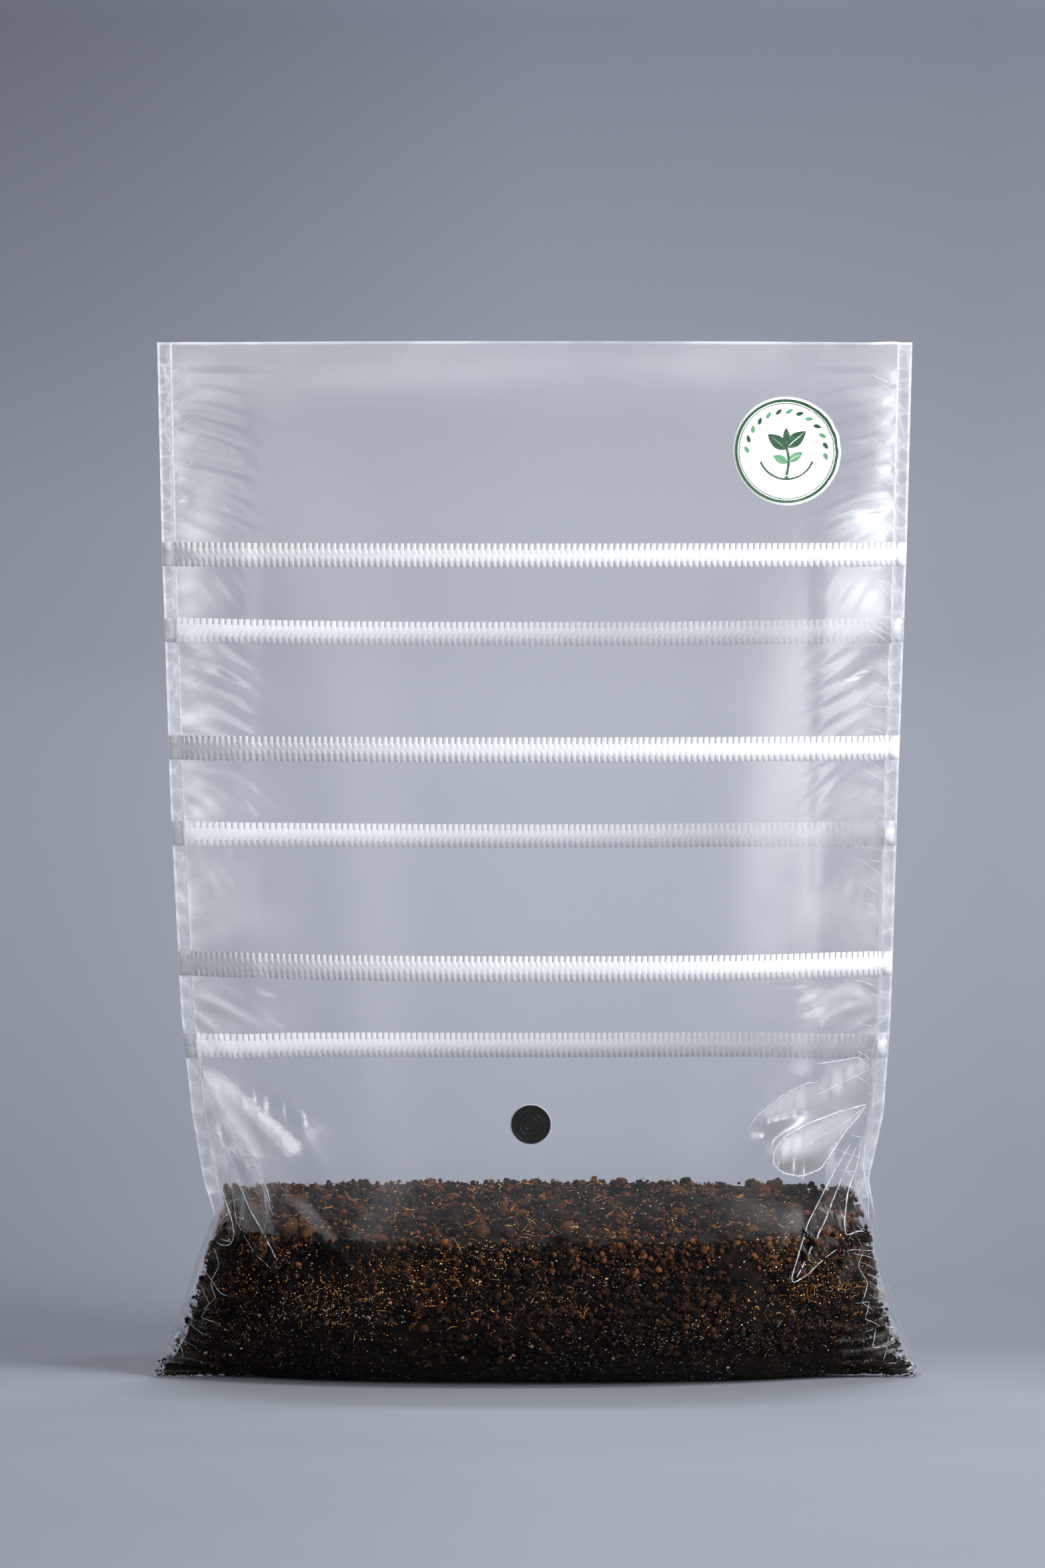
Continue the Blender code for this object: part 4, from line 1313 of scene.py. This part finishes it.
def make_label():
    """The round sticker, with a plain seedling and a wreath of small leaves in green."""
    bpy.ops.mesh.primitive_circle_add(
        vertices=96, radius=LABEL_RADIUS, fill_type="NGON", rotation=(math.pi / 2, 0.0, 0.0)
    )
    bpy.ops.object.transform_apply(location=True, rotation=True, scale=True)
    bpy.ops.object.mode_set(mode="EDIT")
    for ring in range(9):
        bpy.ops.mesh.inset(thickness=LABEL_RADIUS / 10)
    bpy.ops.mesh.poke()
    bpy.ops.object.mode_set(mode="OBJECT")
    # Coated paper sticker: bright white, satin, with the faint mottle of its fibres
    paper = mottled(
        "coated_paper", 900.0, 4.0, [(0.35, "#ECEEEC"), (0.65, "#F2F4F2")], 0.42, bump=(0.15, 0.00005)
    )
    label = finish_piece("label_disc", paper)
    bpy.ops.object.shade_smooth()
    place_on_front(label, LABEL_X, LABEL_HEIGHT, LABEL_LIFT)
    wall = label.modifiers.new("thickness", "SOLIDIFY")
    wall.thickness = LABEL_THICKNESS
    wall.offset = -1.0 if sum(face.normal.y for face in label.data.polygons) < 0 else 1.0
    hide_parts("label")

    # Offset ink on paper: even and satin, a little uneven in its solid areas
    deep = mottled("green_ink_deep", 1800.0, 2.0, [(0.3, "#07401F"), (0.7, "#0C4C28")], 0.4)
    mid = mottled("green_ink_mid", 1800.0, 2.0, [(0.3, "#4F8C62"), (0.7, "#5E9A70")], 0.4)
    dark = [
        (ring_grid(0.0256, 0.0269, 2), None),
        (ring_grid(0.0246, 0.0249, 1), None),
        (ring_grid(0.0, 0.0011, 2, 24) + [0.0, 0.0, -0.0140], None),
        (ring_grid(0.0142, 0.0150, 1, 40, math.radians(112), math.radians(248)), None),
    ]
    light = []
    for k in range(-6, 7):
        turn = math.radians(15.5 * k)
        x, z = 0.0196 * math.sin(turn), 0.0196 * math.cos(turn)
        grid = leaf_grid(x, z, turn + math.radians(62), 0.0042, 0.0019, 6)
        (dark if k % 2 else light).append((grid, None))
    stem = np.linspace(0.0, 1.0, 13)[:, None]
    side = np.array([-1.0, 0.0, 1.0])[None, :] * 0.00055
    bend = 0.0012 * np.sin(math.pi * stem)
    level = 0 * side
    stalk = [bend + side, 0 * bend + level, -0.0125 + 0.0150 * stem + level]
    dark.append((np.stack(stalk, 2), None))
    dark.append((leaf_grid(0.0003, 0.0010, math.radians(-52), 0.0125, 0.0064), 2))
    dark.append((leaf_grid(0.0003, 0.0020, math.radians(50), 0.0130, 0.0066), 2))
    light.append((leaf_grid(0.0008, -0.0060, math.radians(-64), 0.0085, 0.0040), 2))
    light.append((leaf_grid(0.0010, -0.0052, math.radians(60), 0.0088, 0.0042), 2))
    dark.append((leaf_grid(0.0004, 0.0026, math.radians(-2), 0.0095, 0.0036), 2))
    print_piece("label_print_deep", dark, LABEL_LIFT + 0.00032, deep)
    print_piece("label_print_mid", light, LABEL_LIFT + 0.00032, mid)


make_port()
make_label()


def crease_highlight_film():
    """Painted highlight along sharp creases in polypropylene: white, glossy, still half clear."""
    material, add, place = new_material("crease_highlight_polypropylene")
    uneven = add("TexNoise", {"Vector": place, "Scale": 260.0, "Detail": 2.0})
    clear = add("BsdfTransparent", {"Color": "#FDFDFE"})
    body = add("BsdfPrincipled", {"Base Color": "#F1F3F7", "Roughness": 0.22})
    through = add("BsdfTranslucent", {"Color": "#F4F6F9"})
    painted_white = add("MixShader", {0: 0.5, 1: body, 2: through})
    share = add(
        "MapRange", {"Value": uneven, "From Min": 0.35, "From Max": 0.65, "To Min": 0.25, "To Max": 0.95}
    )
    both = add("MixShader", {0: share, 1: clear, 2: painted_white})
    add("OutputMaterial", {"Surface": both})
    return material


def make_crease_highlights():
    """Thin tapered white strands on the film along its sharp creases and gathers: painted highlights on
    their ridges.
    """
    front = sheet[: len(rows)].reshape(-1, 3)
    outer = normals[: len(rows)].reshape(-1, 3)
    points, faces = [], []
    chance = np.random.default_rng(SEED + 7)
    gathers = []
    for side in (-1, 1):
        height = 0.030
        while height < 0.528:
            start = side * float(weld_edge(side, height) - flange_width(height))
            length, rise = chance.uniform(0.004, 0.016), chance.uniform(0.1, 0.8)
            bent = height + 0.5 * rise * length + chance.normal(0.0, 0.0008)
            middle = (start - side * 0.5 * length, bent)
            gathers.append((
                chance.uniform(0.00007, 0.00020),
                ((start, height), middle, (start - side * length, height + rise * length)),
            ))
            height += chance.uniform(0.003, 0.011)
    for radius, corners in (*CREASE_HIGHLIGHTS, *gathers):
        corners = np.array(corners)
        run = np.concatenate([[0.0], np.cumsum(np.hypot(*np.diff(corners, axis=0).T))])
        count = max(6, int(run[-1] / 0.0012))
        place = np.linspace(0.0, run[-1], count)
        bell = np.array([0.06, 0.24, 0.40, 0.24, 0.06])
        line = []
        for axis in (0, 1):
            even = np.interp(place, run, corners[:, axis])
            padded = np.concatenate([[even[0]] * 2, even, [even[-1]] * 2])
            line.append(np.convolve(padded, bell, "valid"))
        line = np.stack(line, 1)
        apart = np.hypot(front[None, :, 0] - line[:, :1], front[None, :, 2] - line[:, 1:])
        near = np.argsort(apart, axis=1)[:, :4]
        share = 1 / (np.take_along_axis(apart, near, 1) + 0.0004) ** 2
        share /= share.sum(1, keepdims=True)
        normal = (outer[near] * share[..., None]).sum(1)
        normal /= np.linalg.norm(normal, axis=1, keepdims=True)
        depth = (front[near][..., 1] * share).sum(1)
        centre = np.stack([line[:, 0], depth, line[:, 1]], 1) + 0.0003 * normal
        along = np.gradient(centre, axis=0)
        along /= np.linalg.norm(along, axis=1, keepdims=True)
        side = np.cross(along, normal)
        taper = radius * np.clip(np.minimum(place, run[-1] - place) / 0.006 + 0.25, 0.0, 1.0)
        start = sum(len(part) for part in points)
        rings = []
        for k in range(5):
            angle = 2 * math.pi * k / 5
            offset = math.cos(angle) * side + 0.6 * math.sin(angle) * normal
            rings.append(centre + taper[:, None] * offset)
        points.append(np.stack(rings, 1).reshape(-1, 3))
        for r in range(count - 1):
            for k in range(5):
                a, b = start + 5 * r + k, start + 5 * r + (k + 1) % 5
                faces.append([a, b, b + 5, a + 5])
    strands = np.concatenate(points)
    strands[:, 2] = np.maximum(strands[:, 2], 0.0003)
    creases = add_mesh("film_crease_highlights", strands, faces, crease_highlight_film())


make_crease_highlights()


SWEEP_REACH = 3.0
SWEEP_CURVE_START = 0.45
SWEEP_RADIUS = 0.40


def make_stage():
    """A pale sweep: floor, curve and backdrop in one sheet, with painted shade in its tones."""
    material, add, place = new_material("paper_sweep")
    parts = add("SeparateXYZ", {"Vector": place})
    # Painted shade on the paper, from front to back over the floor, then up the wall: darker behind the
    # bag and towards the top of the wall, lightest about a third of a metre up
    over_floor = add("MapRange", {"Value": parts.outputs["Y"], "From Min": -0.60, "From Max": 0.40})
    floor = add("ValToRGB", {"Fac": over_floor}, [
        (0.05, "#898E97"), (0.32, "#8C9199"), (0.51, "#8A8F97"), (0.73, "#747983"), (1.0, "#767B84"),
    ])
    wall = add("ValToRGB", {"Fac": parts.outputs["Z"]}, [
        (0.0, "#767B84"), (0.06, "#777C85"), (0.135, "#7C818A"), (0.25, "#848992"),
        (0.374, "#8E939C"), (0.50, "#878C95"), (0.64, "#757A83"), (0.85, "#585C66"),
    ])
    raised = add("Math", {0: parts.outputs["Z"], 1: 0.001}, operation="GREATER_THAN")
    tone = add("Mix", {"Factor": raised, "A": floor, "B": wall}, data_type="RGBA")
    # Painted shade across the sweep: lighter in the middle, darker at the right where the key light falls
    # most
    sideways = add("MapRange", {"Value": parts.outputs["X"], "From Min": -0.32, "From Max": 0.32})
    vignette = add("ValToRGB", {"Fac": sideways}, [(0.0, 1.0), (0.5, 1.08), (1.0, 0.875)])
    both = add("Mix", {"Factor": 1.0, "A": tone, "B": vignette}, data_type="RGBA", blend_type="MULTIPLY")
    shader = add("BsdfPrincipled", {"Base Color": both, "Roughness": 0.9, "Specular IOR Level": 0.1})
    add("OutputMaterial", {"Surface": shader})
    profile = [(-SWEEP_REACH, 0.0), (SWEEP_CURVE_START, 0.0)]
    for k in range(1, 25):
        angle = math.pi / 2 * k / 24
        forward, up = math.sin(angle), 1 - math.cos(angle)
        profile.append((SWEEP_CURVE_START + SWEEP_RADIUS * forward, SWEEP_RADIUS * up))
    profile.append((SWEEP_CURVE_START + SWEEP_RADIUS, SWEEP_REACH))
    grid = np.array([[(x, y, z) for x in (-SWEEP_REACH, SWEEP_REACH)] for y, z in profile])
    sweep = add_grid("sweep", grid, material)
    sweep.parent = None
    del sweep["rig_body"]


WORLD_COLOR = "#C4C8D0"
WORLD_STRENGTH = 0.12
CAMERA_PLACE = (-0.0073, -2.4, 0.310)
CAMERA_LENS = 105.34
CAMERA_SENSOR = 36.0

# Softboxes: name, place, what they are turned to, size, watts
LIGHTS = (
    ("key", (1.65, -1.25, 0.85), (0.0, 0.0, 0.25), (0.75, 1.05), 34.0),
    ("sun_side", (1.35, -0.85, 1.5), (0.0, 0.0, 0.15), (0.45, 0.45), 34.0),
    ("left_box", (-0.95, -1.75, 0.75), (0.0, 0.0, 0.28), (0.6, 1.5), 9.5),
    ("front_fill", (0.3, -3.2, 1.6), (0.0, 0.0, 0.3), (2.4, 1.4), 12.0),
    ("back_light", (0.1, 0.78, 1.08), (0.0, 0.0, 0.25), (1.3, 0.3), 18.0),
)


def add_light(name, place, aim, size, power):
    """A rectangular softbox at a place, turned to what it lights."""
    lamp = bpy.data.lights.new(name, "AREA")
    lamp.shape = "RECTANGLE"
    lamp.size, lamp.size_y = size
    lamp.energy = power
    thing = bpy.data.objects.new(name, lamp)
    thing.location = place
    thing.rotation_euler = (Vector(aim) - Vector(place)).to_track_quat("-Z", "Y").to_euler()
    bpy.context.scene.collection.objects.link(thing)


make_stage()
for light in LIGHTS:
    add_light(*light)
world = bpy.data.worlds.new("studio")
world.use_nodes = True
world.node_tree.nodes["Background"].inputs["Color"].default_value = linear(WORLD_COLOR)
world.node_tree.nodes["Background"].inputs["Strength"].default_value = WORLD_STRENGTH
bpy.context.scene.world = world

camera = bpy.data.cameras.new("camera")
camera.lens = CAMERA_LENS
camera.sensor_width = CAMERA_SENSOR
viewer = bpy.data.objects.new("camera", camera)
viewer.location = CAMERA_PLACE
viewer.rotation_euler = (math.pi / 2, 0.0, 0.0)
bpy.context.scene.collection.objects.link(viewer)
bpy.context.scene.camera = viewer
bpy.context.scene.view_settings.view_transform = "Standard"
